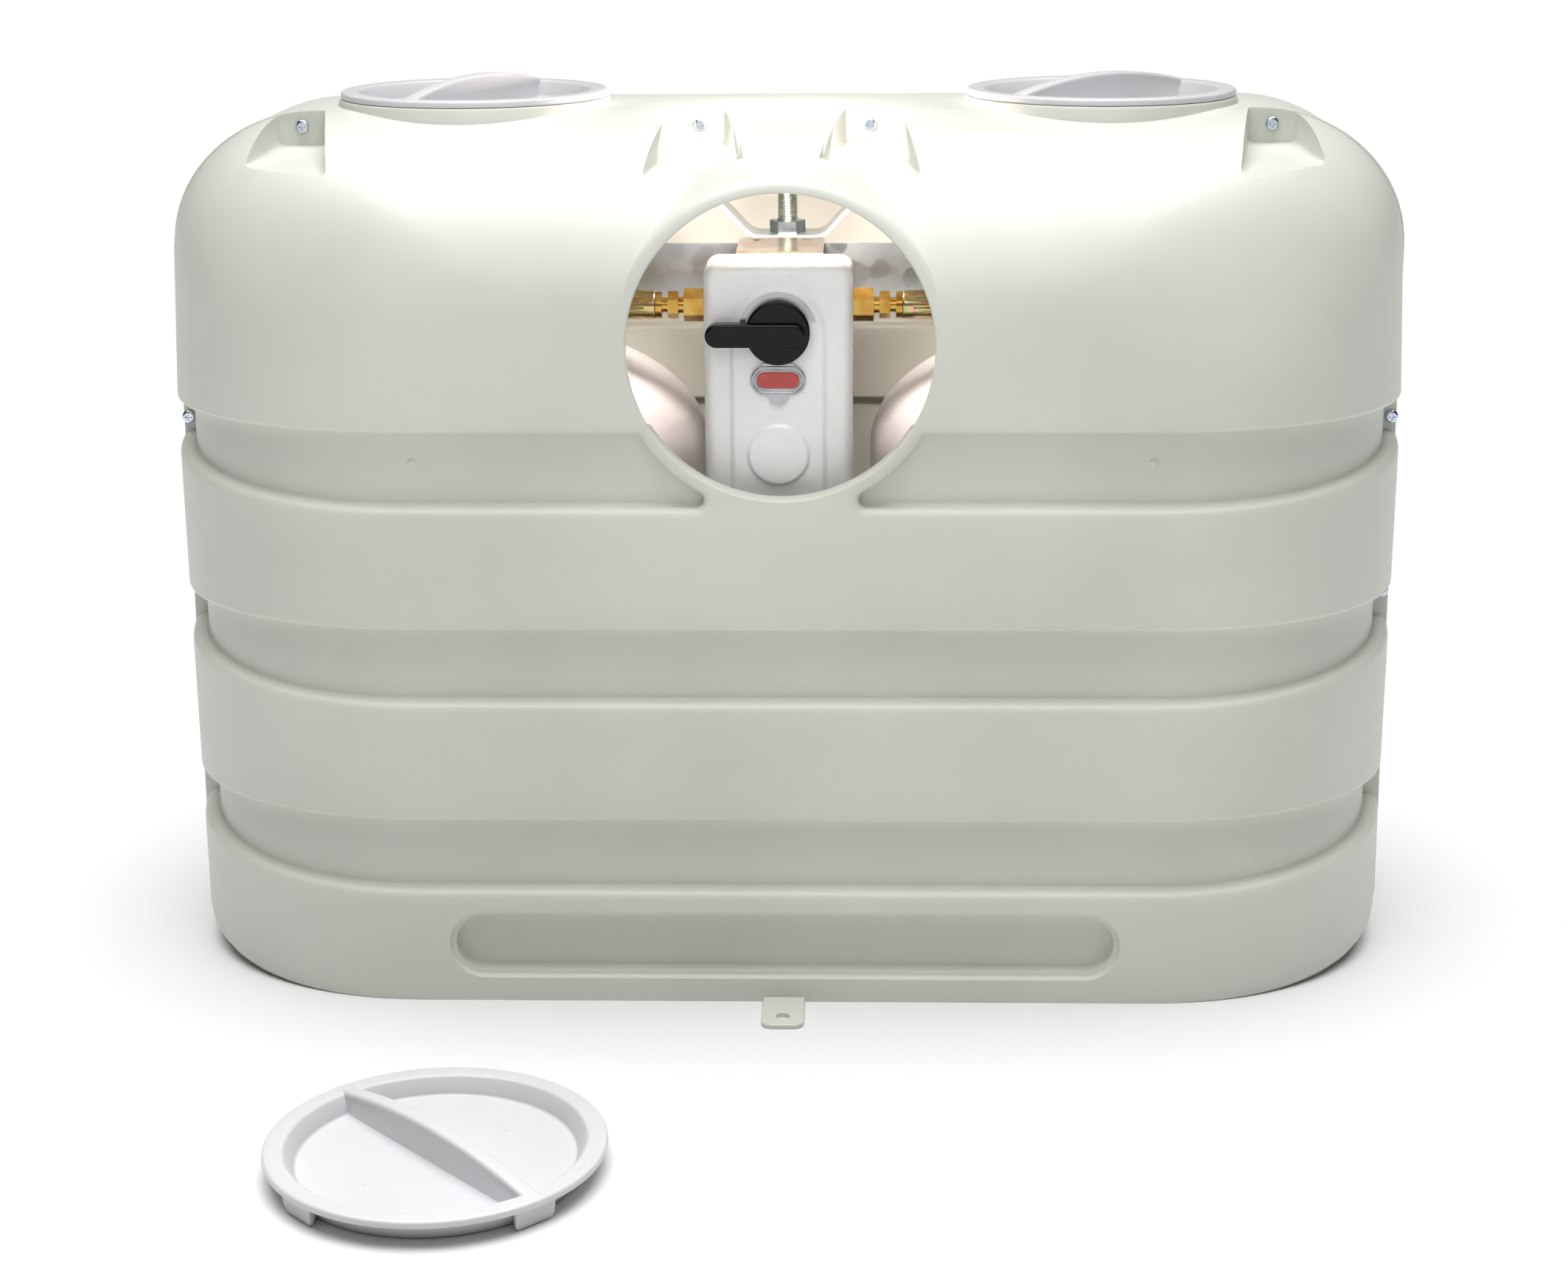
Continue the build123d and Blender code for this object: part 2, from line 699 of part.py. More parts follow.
def hose(side):
    """Rubber hose along its route: straight runs joined by tangent arcs."""
    points = [Vector(*p) for p in route(side)]
    radii = []
    for before, here, after in zip(points, points[1:], points[2:]):
        turn = radians((here - before).get_angle(after - here))
        shorter = min((here - before).length, (after - here).length)
        radii.append(0.45 * shorter / tan(turn / 2))
    path = FilletPolyline(*points, radius=radii)
    section = Plane(origin=path @ 0, z_dir=path % 0) * Circle(hose_radius)
    tube = sweep(section, path)
    print("hose", side, "radii", [round(r) for r in radii], "length", round(path.length, 1), "volume ratio",
          round(tube.volume / (pi * hose_radius ** 2 * path.length), 4))
    return tube


def inlet_place(side, reach):
    """Point on an inlet's axis at a distance from the housing's side."""
    return (regulator_x + side * (housing_width / 2 + reach), inlet_y, inlet_z)


def inlet_nut(side):
    """Brass nut on the regulator's inlet."""
    form = hex_bar(inlet_place(side, 0), (side, 0, 0), inlet_nut_flats, inlet_nut_length)
    return form - rod(inlet_place(side, 0), (side, 0, 0), inlet_stub_radius + thread_gap, inlet_nut_length)


def inlet_nipple(side):
    """Brass nipple: neck, small hexagon, waist and flange."""
    aim = (side, 0, 0)
    hex_start, hex_length = nipple_hex
    hex_end = hex_start + hex_length
    # the neck starts just past the end of the inlet's stub, inside the nut
    neck_start = inlet_stub_length - cast_side_gap - bite + neck_gap
    form = rod(inlet_place(side, neck_start), aim, nipple_neck, hex_start + bite - neck_start)
    form += hex_bar(inlet_place(side, hex_start), aim, nipple_flats, hex_length)
    form += rod(inlet_place(side, hex_end - bite), aim, nipple_waist, nipple_flange_start + 2 * bite - hex_end)
    form += rod(inlet_place(side, nipple_flange_start), aim, nipple_flange, crimp_start - nipple_flange_start)
    return form - rod(inlet_place(side, 0), aim, nipple_inner, far)


def sleeve(start, aim, length):
    """Crimped steel sleeve with pressed flutes."""
    form = rod(start, aim, crimp_radius, length)
    form = fillet(form.edges().filter_by(GeomType.CIRCLE), 1.2)
    first = tuple(a + b * length * 0.22 for a, b in zip(start, aim))
    form = fluted(form, first, aim, crimp_radius + 1.1, 1.7, crimp_flutes, length * 0.62)
    return form - rod(start, aim, nipple_inner, length)


# ---- regulator --------------------------------------------------------------------------
def panel_shape(y, low):
    """Raised panel on the housing: straight sides with a round head."""
    head = housing_top - panel_margin - panel_width / 2
    shape = Pos(regulator_x, (low + head) / 2) * Rectangle(panel_width, head - low)
    shape += Pos(regulator_x, head) * Circle(panel_width / 2)
    return upright(y) * shape


def housing():
    """White plastic housing of the regulator, open at the back."""
    x = (regulator_x - housing_width / 2, regulator_x + housing_width / 2)
    form = slab(x, (housing_front, housing_back), (housing_low, housing_top))
    rounded = form.edges().filter_by(Axis.Y) + form.faces().sort_by(Axis.Y)[0].edges()
    form = fillet(rounded, housing_corner)
    w = housing_wall
    hollow = slab((x[0] + w, x[1] - w), (housing_front + w, housing_back + proud), (housing_low + w, housing_top - w))
    form -= fillet(hollow.edges().filter_by(Axis.Y), housing_corner - w)
    form += extrude(panel_shape(housing_front + bite, housing_low + panel_margin * 2), panel_rise + bite)
    bump = rod((regulator_x, panel_front + bite, housing_top - bump_drop), (0, -1, 0), bump_radius, bump_rise + bite)
    form += fillet(bump.edges().group_by(Axis.Y)[0], bump_rise * 0.6)
    form -= rod((regulator_x, panel_front - proud, knob_z), (0, 1, 0), axle_radius + running_gap, housing_depth)
    for _, side in sides:
        form -= rod((regulator_x, inlet_y, inlet_z), (side, 0, 0), inlet_stub_radius + part_gap, housing_width)
    return form - rod((regulator_x, inlet_y, housing_low - proud), (0, 0, 1), outlet_boss_radius + part_gap,
                      housing_wall + 2 * proud)


def regulator_body():
    """Die-cast body inside the housing, with its diaphragm cover, inlets and outlet boss."""
    half = housing_width / 2 - cast_side_gap
    lid_z = housing_low + diaphragm_rise
    lid_y = housing_back + diaphragm_thickness
    form = slab((regulator_x - half, regulator_x + half), (housing_front + housing_wall, housing_back),
                (housing_low + cast_foot, housing_top - cast_head))
    form = fillet(form.edges().filter_by(Axis.Y), cast_corner)
    form += rod((regulator_x, housing_back - bite, lid_z), (0, 1, 0), half + diaphragm_proud,
                diaphragm_thickness + bite)
    for i in range(diaphragm_screws):
        turn = radians(360 * (i + 0.5) / diaphragm_screws)
        reach = half - diaphragm_proud
        form += hex_bar((regulator_x + reach * cos(turn), lid_y, lid_z + reach * sin(turn)), (0, 1, 0), 8, 3)
    form += rod((regulator_x, lid_y, lid_z), (0, 1, 0), spring_cap_radius, diaphragm_thickness)
    for _, side in sides:
        form += rod((regulator_x + side * (half - bite), inlet_y, inlet_z), (side, 0, 0), inlet_stub_radius,
                    inlet_stub_length)
    boss_low = housing_low - outlet_boss_reach
    form += rod((regulator_x, inlet_y, boss_low), (0, 0, 1), outlet_boss_radius, cast_foot + 2 * outlet_boss_radius)
    form -= rod((regulator_x, inlet_y, boss_low - proud), (0, 0, 1), outlet_radius, outlet_depth + proud)
    return form - rod((regulator_x, panel_front - proud, knob_z), (0, 1, 0), axle_radius + running_gap,
                      axle_length + proud)


def lever_knob():
    """Round knob with the changeover lever across it, pointing left."""
    back = panel_front - part_gap
    disc = rod((regulator_x, back, knob_z), (0, -1, 0), knob_radius, knob_thickness)
    disc = fillet(disc.edges().group_by(Axis.Y)[0], soft_edge)
    start = -lever_reach
    end = knob_radius - lever_tail
    shape = Pos(regulator_x + (start + end) / 2, knob_z + lever_offset) * SlotOverall(end - start, lever_height)
    bar = extrude(upright(back - lever_sunk) * shape, knob_thickness + lever_rise - lever_sunk)
    bar = fillet(bar.edges().group_by(Axis.Y)[0], soft_edge)
    return disc + bar - rod((regulator_x, back + proud, knob_z), (0, -1, 0), axle_radius, axle_in_knob + proud)


def lever_axle():
    """Steel axle pressed into the knob."""
    return rod((regulator_x, panel_front - part_gap - axle_in_knob, knob_z), (0, 1, 0), axle_radius, axle_length)


def dial_arc():
    """Silver arc over the knob."""
    inner = knob_radius + dial_gap
    ring = Pos(regulator_x, knob_z) * (Circle(inner + dial_ring) - Circle(inner))
    above = Pos(regulator_x, knob_z + dial_from + knob_radius) * Rectangle(4 * knob_radius, 2 * knob_radius)
    return extrude(upright(panel_front) * (ring & above), trim_thickness)


def indicator_shape():
    """Outline of the indicator window."""
    return Pos(regulator_x, housing_top - indicator_drop) * SlotOverall(indicator_length, indicator_height)


def bezel():
    """Silver plate round the indicator window, with its neck towards the knob."""
    z = housing_top - indicator_drop
    low = z - bezel_height / 2
    neck_low = z + bezel_height / 4
    neck_high = knob_z - knob_radius
    shape = Pos(regulator_x, z) * SlotOverall(bezel_length, bezel_height)
    shape += Pos(regulator_x, (neck_low + neck_high) / 2) * Rectangle(bezel_neck, neck_high - neck_low)
    shape += Pos(regulator_x, low) * Circle(bezel_foot_radius)
    shape -= Pos(regulator_x, knob_z) * Circle(knob_radius + dial_gap)
    return extrude(upright(panel_front) * (shape - indicator_shape()), bezel_thickness)


def indicator():
    """Red indicator window."""
    form = extrude(upright(panel_front) * indicator_shape(), indicator_thickness)
    return fillet(form.edges().group_by(Axis.Y)[0], indicator_thickness * 0.4)


# ---- hold-down --------------------------------------------------------------------------
def clip():
    """Plated clip from the back of the regulator over the top of the cross plate."""
    t = clip_thickness
    x = (regulator_x - clip_width / 2, regulator_x + clip_width / 2)
    behind = plate_y + plate_thickness
    form = slab(x, (housing_back, behind + clip_beyond), (plate_top, plate_top + t))
    form += slab(x, (housing_back, housing_back + t), (plate_top - clip_drop, plate_top + t))
    form += slab((x[0] + clip_tongue_inset, x[1] - clip_tongue_inset), (behind, behind + t),
                 (tongue_top + part_gap, plate_top + t))
    place, width, depth = clip_notch
    for _, side in sides:
        middle = regulator_x + side * place
        notch = [(middle - width / 2, behind + depth), (middle + width / 2, behind + depth), (middle, behind - depth)]
        form -= extrude(make_face(Polyline(*notch, close=True)), far)
    return form


def rod_hole():
    """Clearance hole for the hold-down rod, right through."""
    return rod((0, 0, 0), (0, 0, 1), rod_radius + rod_clearance, far)


def cross_plate():
    """Galvanised plate between the collars, with a tongue back to the rod."""
    half = tank_x - collar_radius - plate_room
    behind = plate_y + plate_thickness
    form = slab((-half, half), (plate_y, behind), (plate_top - plate_height, plate_top))
    form = fillet(form.edges().filter_by(Axis.Y), plate_corner)
    form += slab((-tongue_width / 2, tongue_width / 2), (behind - bite / 2, tongue_back),
                 (tongue_top - tongue_thickness, tongue_top))
    return form - rod_hole()


def strap():
    """Hold-down strap: flat under the nut, arms rising to lie on both collars."""
    slope = radians(strap_slope)
    reach = tank_x - collar_radius + strap_overlap
    knee = strap_flat / 2
    shoulder = knee + (collar_top - strap_z) / tan(slope)
    shift = strap_thickness * tan(slope / 2)
    lower = [(-reach, collar_top), (-shoulder, collar_top), (-knee, strap_z), (knee, strap_z), (shoulder, collar_top),
             (reach, collar_top)]
    upper = [(x - copysign(shift, x) if abs(x) < reach else x, z + strap_thickness) for x, z in lower]
    outer_knee = strap_knee + strap_thickness
    outer_shoulder = strap_shoulder + strap_thickness
    low_line = FilletPolyline(*lower, radius=[strap_shoulder, outer_knee, outer_knee, strap_shoulder])
    high_line = FilletPolyline(*upper, radius=[outer_shoulder, strap_knee, strap_knee, outer_shoulder])
    edges = [e for line in (low_line, high_line) for e in line.edges()]
    edges += [Edge.make_line((x, collar_top), (x, collar_top + strap_thickness)) for x in (-reach, reach)]
    return Plane.XZ * extrude(make_face(Wire(edges)), strap_width / 2, both=True) - rod_hole()


def nut(z, height):
    """Hexagonal nut on the hold-down rod."""
    form = hex_bar((0, 0, z), (0, 0, 1), nut_flats, height)
    return form - rod((0, 0, z), (0, 0, 1), rod_radius + thread_gap, height)


# ---- rack -------------------------------------------------------------------------------
def rack_channel():
    """Inverted channel under both trays."""
    half = tank_x + channel_overhang
    side = channel_width / 2
    top = rack_height - rack_sheet
    form = slab((-half, half), (-side, side), (rack_sheet, top))
    form -= slab((-far, far), (rack_sheet - side, side - rack_sheet), (0, top - rack_sheet))
    return form - rod_hole()


def rack_tray(side):
    """Round tray that a foot ring stands in."""
    x = side * tank_x
    up = (0, 0, 1)
    low = rack_height - rack_sheet
    radius = foot_ring_radius + tray_room + rack_sheet
    form = rod((x, 0, low), up, radius, rack_sheet)
    form += pipe((x, 0, low), up, radius, radius - rack_sheet, tray_rim)
    return form - rod((x, 0, low), up, tray_hole_radius, rack_sheet)


def rack_plate():
    """Base plate that bolts to the drawbar."""
    plate = slab((-rack_bar_width / 2, rack_bar_width / 2), (-rack_bar_depth / 2, rack_bar_depth / 2),
                 (0, rack_sheet))
    plate = fillet(plate.edges().filter_by(Axis.Z), rack_bar_corner)
    for _, along in sides:
        for _, across in sides:
            plate -= rod((along * rack_bolt_x / 2, across * rack_bolt_y / 2, 0), (0, 0, 1), rack_bolt_radius,
                         rack_sheet)
    return plate


# ---- shell fasteners --------------------------------------------------------------------
def shell_screw(x, z):
    """Pan-head screw through both flanges."""
    y = part_y - flange_thickness
    head = rod((x, y, z), (0, -1, 0), screw_head_radius, screw_head_height)
    head = fillet(head.edges().group_by(Axis.Y)[0], screw_head_height * 0.55)
    length, width, depth = screw_slot
    for wide, high in ((length, width), (width, length)):
        head -= slab((x - wide / 2, x + wide / 2), (y - screw_head_height - proud, y - screw_head_height + depth),
                     (z - high / 2, z + high / 2))
    return head + rod((x, y - bite, z), (0, 1, 0), screw_shank, bite + 2 * flange_thickness + screw_beyond)


def clip_nut(x, z):
    """Sheet nut behind the flanges."""
    y = part_y + flange_thickness
    wide, thick, high = clip_nut_size
    form = slab((x - wide / 2, x + wide / 2), (y, y + thick), (z - high / 2, z + high / 2))
    return form - rod((x, y, z), (0, 1, 0), screw_shank + thread_gap, thick)


# ---- the set ----------------------------------------------------------------------------
def build_cover():
    keep("front_shell", Pos(0, part_y, 0) * shell(front_depth, True))
    keep("rear_shell", Pos(0, part_y, 0) * mirror(shell(rear_depth, False), Plane.XZ))
    nuts = []
    for number, (x, z) in enumerate(screw_places(), 1):
        keep(f"shell_screw_{number}", shell_screw(x, z))
        nuts.append(clip_nut(x, z))
    keep("shell_clip_nuts", Compound(children=nuts))
    seat = cover_height + cap_boss_rise + cap_seat_gap
    for (name, side), turn in zip(sides, top_cap_turn):
        keep(f"top_cap_{name}", Pos(side * cap_x, 0, seat) * cap(top_hole_radius, turn))
    rest = cap_floor + cap_dish_depth - cap_rim
    keep("front_cap", Pos(loose_cap_x, loose_cap_y, rest) * cap(window_radius, loose_cap_turn))


def build_rack():
    keep("rack_plate", rack_plate())
    keep("rack_channel", rack_channel())
    for name, side in sides:
        keep(f"rack_tray_{name}", rack_tray(side))
    foot_nut = rack_height - 2 * rack_sheet - nut_height
    low = foot_nut - rod_below_nut
    keep("hold_down_rod", rod((0, 0, low), (0, 0, 1), rod_radius, collar_top + rod_above_collar - low))
    keep("rod_foot_nut", nut(foot_nut, nut_height))
    keep("plate_nut", nut(tongue_top - tongue_thickness - nut_height, nut_height))
    keep("strap_lock_nut", nut(tongue_top, lock_nut_height))
    keep("hold_down_nut", nut(strap_z + strap_thickness, nut_height))
    keep("hold_down_strap", strap())
    keep("cross_plate", cross_plate())
    keep("regulator_clip", clip())


def build_tanks():
    for name, side in sides:
        hull, foot, ring = tank_pieces(side)
        keep(f"{name}_tank", hull)
        keep(f"{name}_foot_ring", foot)
        keep(f"{name}_collar", ring)
        keep(f"{name}_valve", valve(side))
        keep(f"{name}_handwheel", handwheel(side))


def build_regulator():
    keep("regulator_body", regulator_body())
    keep("regulator_housing", housing())
    keep("changeover_lever", lever_knob())
    keep("lever_axle", lever_axle())
    keep("dial_arc", dial_arc())
    keep("indicator_bezel", bezel())
    keep("indicator_window", indicator())


def build_hoses():
    for name, side in sides:
        keep(f"{name}_inlet_nut", inlet_nut(side))
        keep(f"{name}_inlet_nipple", inlet_nipple(side))
        keep(f"{name}_inlet_sleeve", sleeve(inlet_place(side, crimp_start), (side, 0, 0), crimp_length))
        keep(f"{name}_hose", hose(side))
        keep(f"{name}_tank_sleeve", sleeve(outlet_axis(side, connector_end), outlet_aim(side), tank_crimp_length))
        keep(f"{name}_connector_nipple", connector_nipple(side))
        keep(f"{name}_connector_nut", connector_nut(side))


os.makedirs("parts", exist_ok=True)
build_hoses()
build_regulator()
build_rack()
build_tanks()
build_cover()
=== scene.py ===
"""Looks of a twin propane tank set: moulded cover and caps, regulator, gas lines, tanks and rack.

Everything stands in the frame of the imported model, in metres. Shapes below are worked out in
millimetres and scaled once, where a mesh is made. The front faces -Y.
"""

import json
from math import acos, asin, atan2, cos, pi, radians, sin, sqrt

import bmesh
import bpy
from bpy.props import FloatProperty, FloatVectorProperty, IntProperty, PointerProperty
from mathutils import Matrix, Vector


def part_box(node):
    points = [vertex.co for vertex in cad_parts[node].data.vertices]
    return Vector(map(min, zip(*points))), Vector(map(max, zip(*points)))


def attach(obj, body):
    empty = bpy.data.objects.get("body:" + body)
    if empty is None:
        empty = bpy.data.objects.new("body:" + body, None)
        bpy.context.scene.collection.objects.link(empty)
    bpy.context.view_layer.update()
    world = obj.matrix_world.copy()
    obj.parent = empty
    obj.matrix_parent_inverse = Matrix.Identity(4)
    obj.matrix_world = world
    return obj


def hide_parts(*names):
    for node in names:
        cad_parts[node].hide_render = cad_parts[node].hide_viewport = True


bl_info = {
    "name": "Twin propane tank set",
    "version": (1, 0, 0),
    "blender": (4, 5, 0),
    "location": "View3D > Sidebar > Tank Set",
    "description": "Builds the looks of a twin propane tank set around its packed frame",
    "category": "Add Mesh",
}

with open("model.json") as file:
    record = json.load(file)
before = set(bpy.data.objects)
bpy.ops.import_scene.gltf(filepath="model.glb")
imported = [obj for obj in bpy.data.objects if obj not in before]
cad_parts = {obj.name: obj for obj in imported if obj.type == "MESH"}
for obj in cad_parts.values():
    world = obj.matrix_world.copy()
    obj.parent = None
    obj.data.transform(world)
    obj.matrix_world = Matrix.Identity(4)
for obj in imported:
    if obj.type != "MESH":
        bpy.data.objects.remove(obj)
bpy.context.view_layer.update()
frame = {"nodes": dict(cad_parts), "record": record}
NODES = frame["nodes"]
MM = 0.001
SIDES = (("left", -1), ("right", 1))


# ---- sizes taken from the frame, in millimetres -----------------------------------------
def low_high(node):
    """Lowest and highest corner of a node in millimetres."""
    low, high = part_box(node)
    return [v / MM for v in low], [v / MM for v in high]


shell_high = low_high("front_shell")[1]
rear_low, rear_high = low_high("rear_shell")
housing_low, housing_high = low_high("regulator_housing")
FLANGE_PROUD = 2.0
PART_Y = rear_low[1]                       # parting plane between the shells
REAR_DEPTH = rear_high[1] - rear_low[1]
HALF = shell_high[0] - FLANGE_PROUD        # half width over the bands
BOSS_TOP = shell_high[2]
TOP = BOSS_TOP - 4.0                       # top of the cover beside the cap seats

# ---- the cover's form -------------------------------------------------------------------
FACE_DEPTH = 131.0                         # rounding of the face, in depth
FACE_SIDE = 153.0                          # the same across and downwards from the top
FACE_TOP = 104.0
CORNER_X = 91.0
CORNER_Z = 82.0
FOOT_FLANGE = 24.0
FOOT_FACE = 2.0
GROOVES = 3
GROOVE_PITCH = 117.3
GROOVE_LOW = 70.5
GROOVE_HEIGHT = 44.5
GROOVE_RISE = 20.0
WINDOW_Z = 397.5
WINDOW_R = 87.5
LEAN, LEAN_FROM, LEAN_OVER = 4.0, 345.0, 92.0   # the upper band's sides lean in, from a height and over a rise
TAB_REACH, TAB_HALF, TAB_THICK, TAB_CORNER, TAB_HOLE_R = 40.0, 12.5, 3.0, 6.0, 4.3
FLANGE_THICK = 3.0
SUNK = 0.03                                # keeps the ring's faces off the bands'
RECESS = (395.0, 36.0, 36.2, 11.0)         # length, height, middle, depth
CAP_X = (low_high("top_cap_left")[0][0] + low_high("top_cap_left")[1][0]) / 2
HOLE_R = 78.0
POCKET_X = (50.5, 289.0)


# ---- user's sizes and colours -----------------------------------------------------------
def colour(code):
    """Linear colour from an sRGB hex value such as "F2F3EE"."""
    parts = [int(code[k:k + 2], 16) / 255 for k in (0, 2, 4)]
    return [c / 12.92 if c <= 0.04045 else ((c + 0.055) / 1.055) ** 2.4 for c in parts] + [1.0]


def paint(label, code):
    """Colour setting with a default given as sRGB hex."""
    return FloatVectorProperty(name=label, description="Colour of the finish", subtype="COLOR", size=4,
                               min=0.0, max=1.0, default=colour(code))


class CoverSettings(bpy.types.PropertyGroup):
    wall: FloatProperty(name="Wall", description="Thickness of the moulded wall, in mm", default=3.0)
    groove: FloatProperty(name="Groove depth", description="How deep the bands are parted, in mm", default=10.0)
    ledge: FloatProperty(name="Ledge rounding", description="Radius along each band's upper edge, in mm",
                         default=6.0)
    lip: FloatProperty(name="Lip rounding", description="Radius along each band's lower edge, in mm", default=3.0)
    root: FloatProperty(name="Root rounding", description="Radius inside the grooves, in mm", default=2.2)
    steps: IntProperty(name="Rounding steps", description="Mesh steps in each small rounding", default=5, min=2)
    tone: paint("Cover colour", "D6D8CF")
    shade: paint("Cover shade", "CED0C7")


class CapSettings(bpy.types.PropertyGroup):
    rounding: FloatProperty(name="Rim rounding", description="Radius of the rim's edge, in mm", default=1.8)
    bar_width: FloatProperty(name="Bar width", description="Width of the finger bar's crest, in mm", default=9.92)
    bar_rise: FloatProperty(name="Bar rise", description="Height of the bar's arch over the rim, in mm",
                            default=9.0)
    tone: paint("Cap colour", "D0D0D3")
    shade: paint("Cap shade", "CBCBCD")


class StageSettings(bpy.types.PropertyGroup):
    lens: FloatProperty(name="Lens", description="Focal length of the camera, in mm", default=64.15,
                        unit="CAMERA")
    top: FloatProperty(name="Top light", description="Strength of the even light from above", default=4.1)
    side: FloatProperty(name="Front light", description="Power of the soft light in front", default=3.5,
                        unit="POWER")
    inside: FloatProperty(name="Inside light", description="Power of the light under the cover", default=2.9,
                          unit="POWER")
    brow: FloatProperty(name="Upper light", description="Power of the wide light over the face", default=1.8,
                        unit="POWER")
    fill: FloatProperty(name="Fill", description="Strength of the even light all round", default=0.03)


# ---- mesh helpers -----------------------------------------------------------------------
def new_object(name, points, faces, smooth=35.0):
    """Object from points in millimetres, smooth where faces meet at less than an angle."""
    mesh = bpy.data.meshes.new(name)
    mesh.from_pydata([(x * MM, y * MM, z * MM) for x, y, z in points], [], faces)
    mesh.validate()
    obj = bpy.data.objects.new(name, mesh)
    bpy.context.scene.collection.objects.link(obj)
    soften(obj, smooth)
    return obj


def soften(obj, angle=35.0):
    """Outward faces, shaded smooth up to an angle in degrees."""
    work = bmesh.new()
    work.from_mesh(obj.data)
    bmesh.ops.recalc_face_normals(work, faces=work.faces)
    work.to_mesh(obj.data)
    work.free()
    obj.data.shade_smooth()
    obj.data.set_sharp_from_angle(angle=radians(angle))


def loft(name, loops, smooth=35.0, capped=True):
    """Closed body through loops of the same number of points."""
    count = len(loops[0])
    points = [p for loop in loops for p in loop]
    faces = []
    for level in range(len(loops) - 1):
        for k in range(count):
            a, b = level * count + k, level * count + (k + 1) % count
            faces.append((a, b, b + count, a + count))
    if capped:
        faces.append(tuple(range(count)))
        faces.append(tuple(range(len(points) - count, len(points))))
    else:
        last = len(points) - count
        faces += [(last + k, last + (k + 1) % count, (k + 1) % count, k) for k in range(count)]
    return new_object(name, points, faces, smooth)


def combine(obj, others, operation):
    """Joins other bodies to obj, or cuts them from it, and removes them."""
    group = bpy.data.collections.new("operands")
    for other in others:
        group.objects.link(other)
    cut = obj.modifiers.new("combine", "BOOLEAN")
    cut.operand_type = "COLLECTION"
    cut.collection = group
    cut.operation = operation
    cut.solver = "EXACT"
    view = bpy.context.evaluated_depsgraph_get()
    obj.data = bpy.data.meshes.new_from_object(obj.evaluated_get(view))
    obj.modifiers.clear()
    for other in others:
        bpy.data.objects.remove(other)
    bpy.data.collections.remove(group)
    soften(obj)
    return obj


def quarter(radius, steps):
    """Points (run, drop) of a quarter round, from flat to upright."""
    return [(radius * sin(pi / 2 * k / steps), radius * (1 - cos(pi / 2 * k / steps))) for k in range(steps + 1)]


def slot_loop(length, height, grow, count=24):
    """Outline of a slot with round ends about the origin, grown outwards."""
    radius = height / 2 + grow
    middle = (length - height) / 2
    loop = []
    for end, start in ((1, -90), (-1, 90)):
        for k in range(count + 1):
            turn = radians(start + 180 * k / count)
            loop.append((end * middle + radius * cos(turn), radius * sin(turn)))
    return loop


def rounded_loop(width, height, corner, grow, count=8):
    """Outline of a rectangle with round corners about the origin, grown outwards."""
    loop = []
    for sx, sy, start in ((1, 1, 0), (-1, 1, 90), (-1, -1, 180), (1, -1, 270)):
        for k in range(count + 1):
            turn = radians(start + 90 * k / count)
            loop.append((sx * (width / 2 - corner) + (corner + grow) * cos(turn),
                         sy * (height / 2 - corner) + (corner + grow) * sin(turn)))
    return loop


def round_loop(radius, count=96):
    """Circle about the origin."""
    return [(radius * cos(2 * pi * k / count), radius * sin(2 * pi * k / count)) for k in range(count)]


def upright(loop, x, y, z):
    """A loop stood up in the plane y, its middle at x and z."""
    return [(x + u, y, z + v) for u, v in loop]


def level(loop, x, y, z):
    """A loop laid flat at height z, its middle at x and y."""
    return [(x + u, y + v, z) for u, v in loop]


def finish_piece(obj, body, slot, material, *replaced):
    """Gives a piece its material and body, and hides the nodes that it stands for. The slot is not used."""
    obj.data.materials.clear()
    obj.data.materials.append(material)
    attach(obj, body)
    if replaced:
        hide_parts(*replaced)
    return obj


# ---- materials --------------------------------------------------------------------------
def add(tree, kind, settings=None, links=None):
    """A node with its settings, and links from (node, output) pairs to its inputs."""
    node = tree.nodes.new(kind)
    for key, value in (settings or {}).items():
        if key in node.inputs:
            node.inputs[key].default_value = value
        else:
            setattr(node, key, value)
    for key, (source, output) in (links or {}).items():
        tree.links.new(source.outputs[output], node.inputs[key])
    return node


def start(name):
    """Empty material with object coordinates at hand."""
    found = bpy.data.materials.get(name)
    if found:
        return found, None, None
    material = bpy.data.materials.new(name)
    material.use_nodes = True
    tree = material.node_tree
    tree.nodes.clear()
    return material, tree, add(tree, "ShaderNodeTexCoord")


def close(tree, shader):
    """Connects the finished shader."""
    add(tree, "ShaderNodeOutputMaterial", links={"Surface": (shader, "BSDF")})


def per_metre(size):
    """Texture scale that gives features of a size in millimetres."""
    return 1000.0 / size


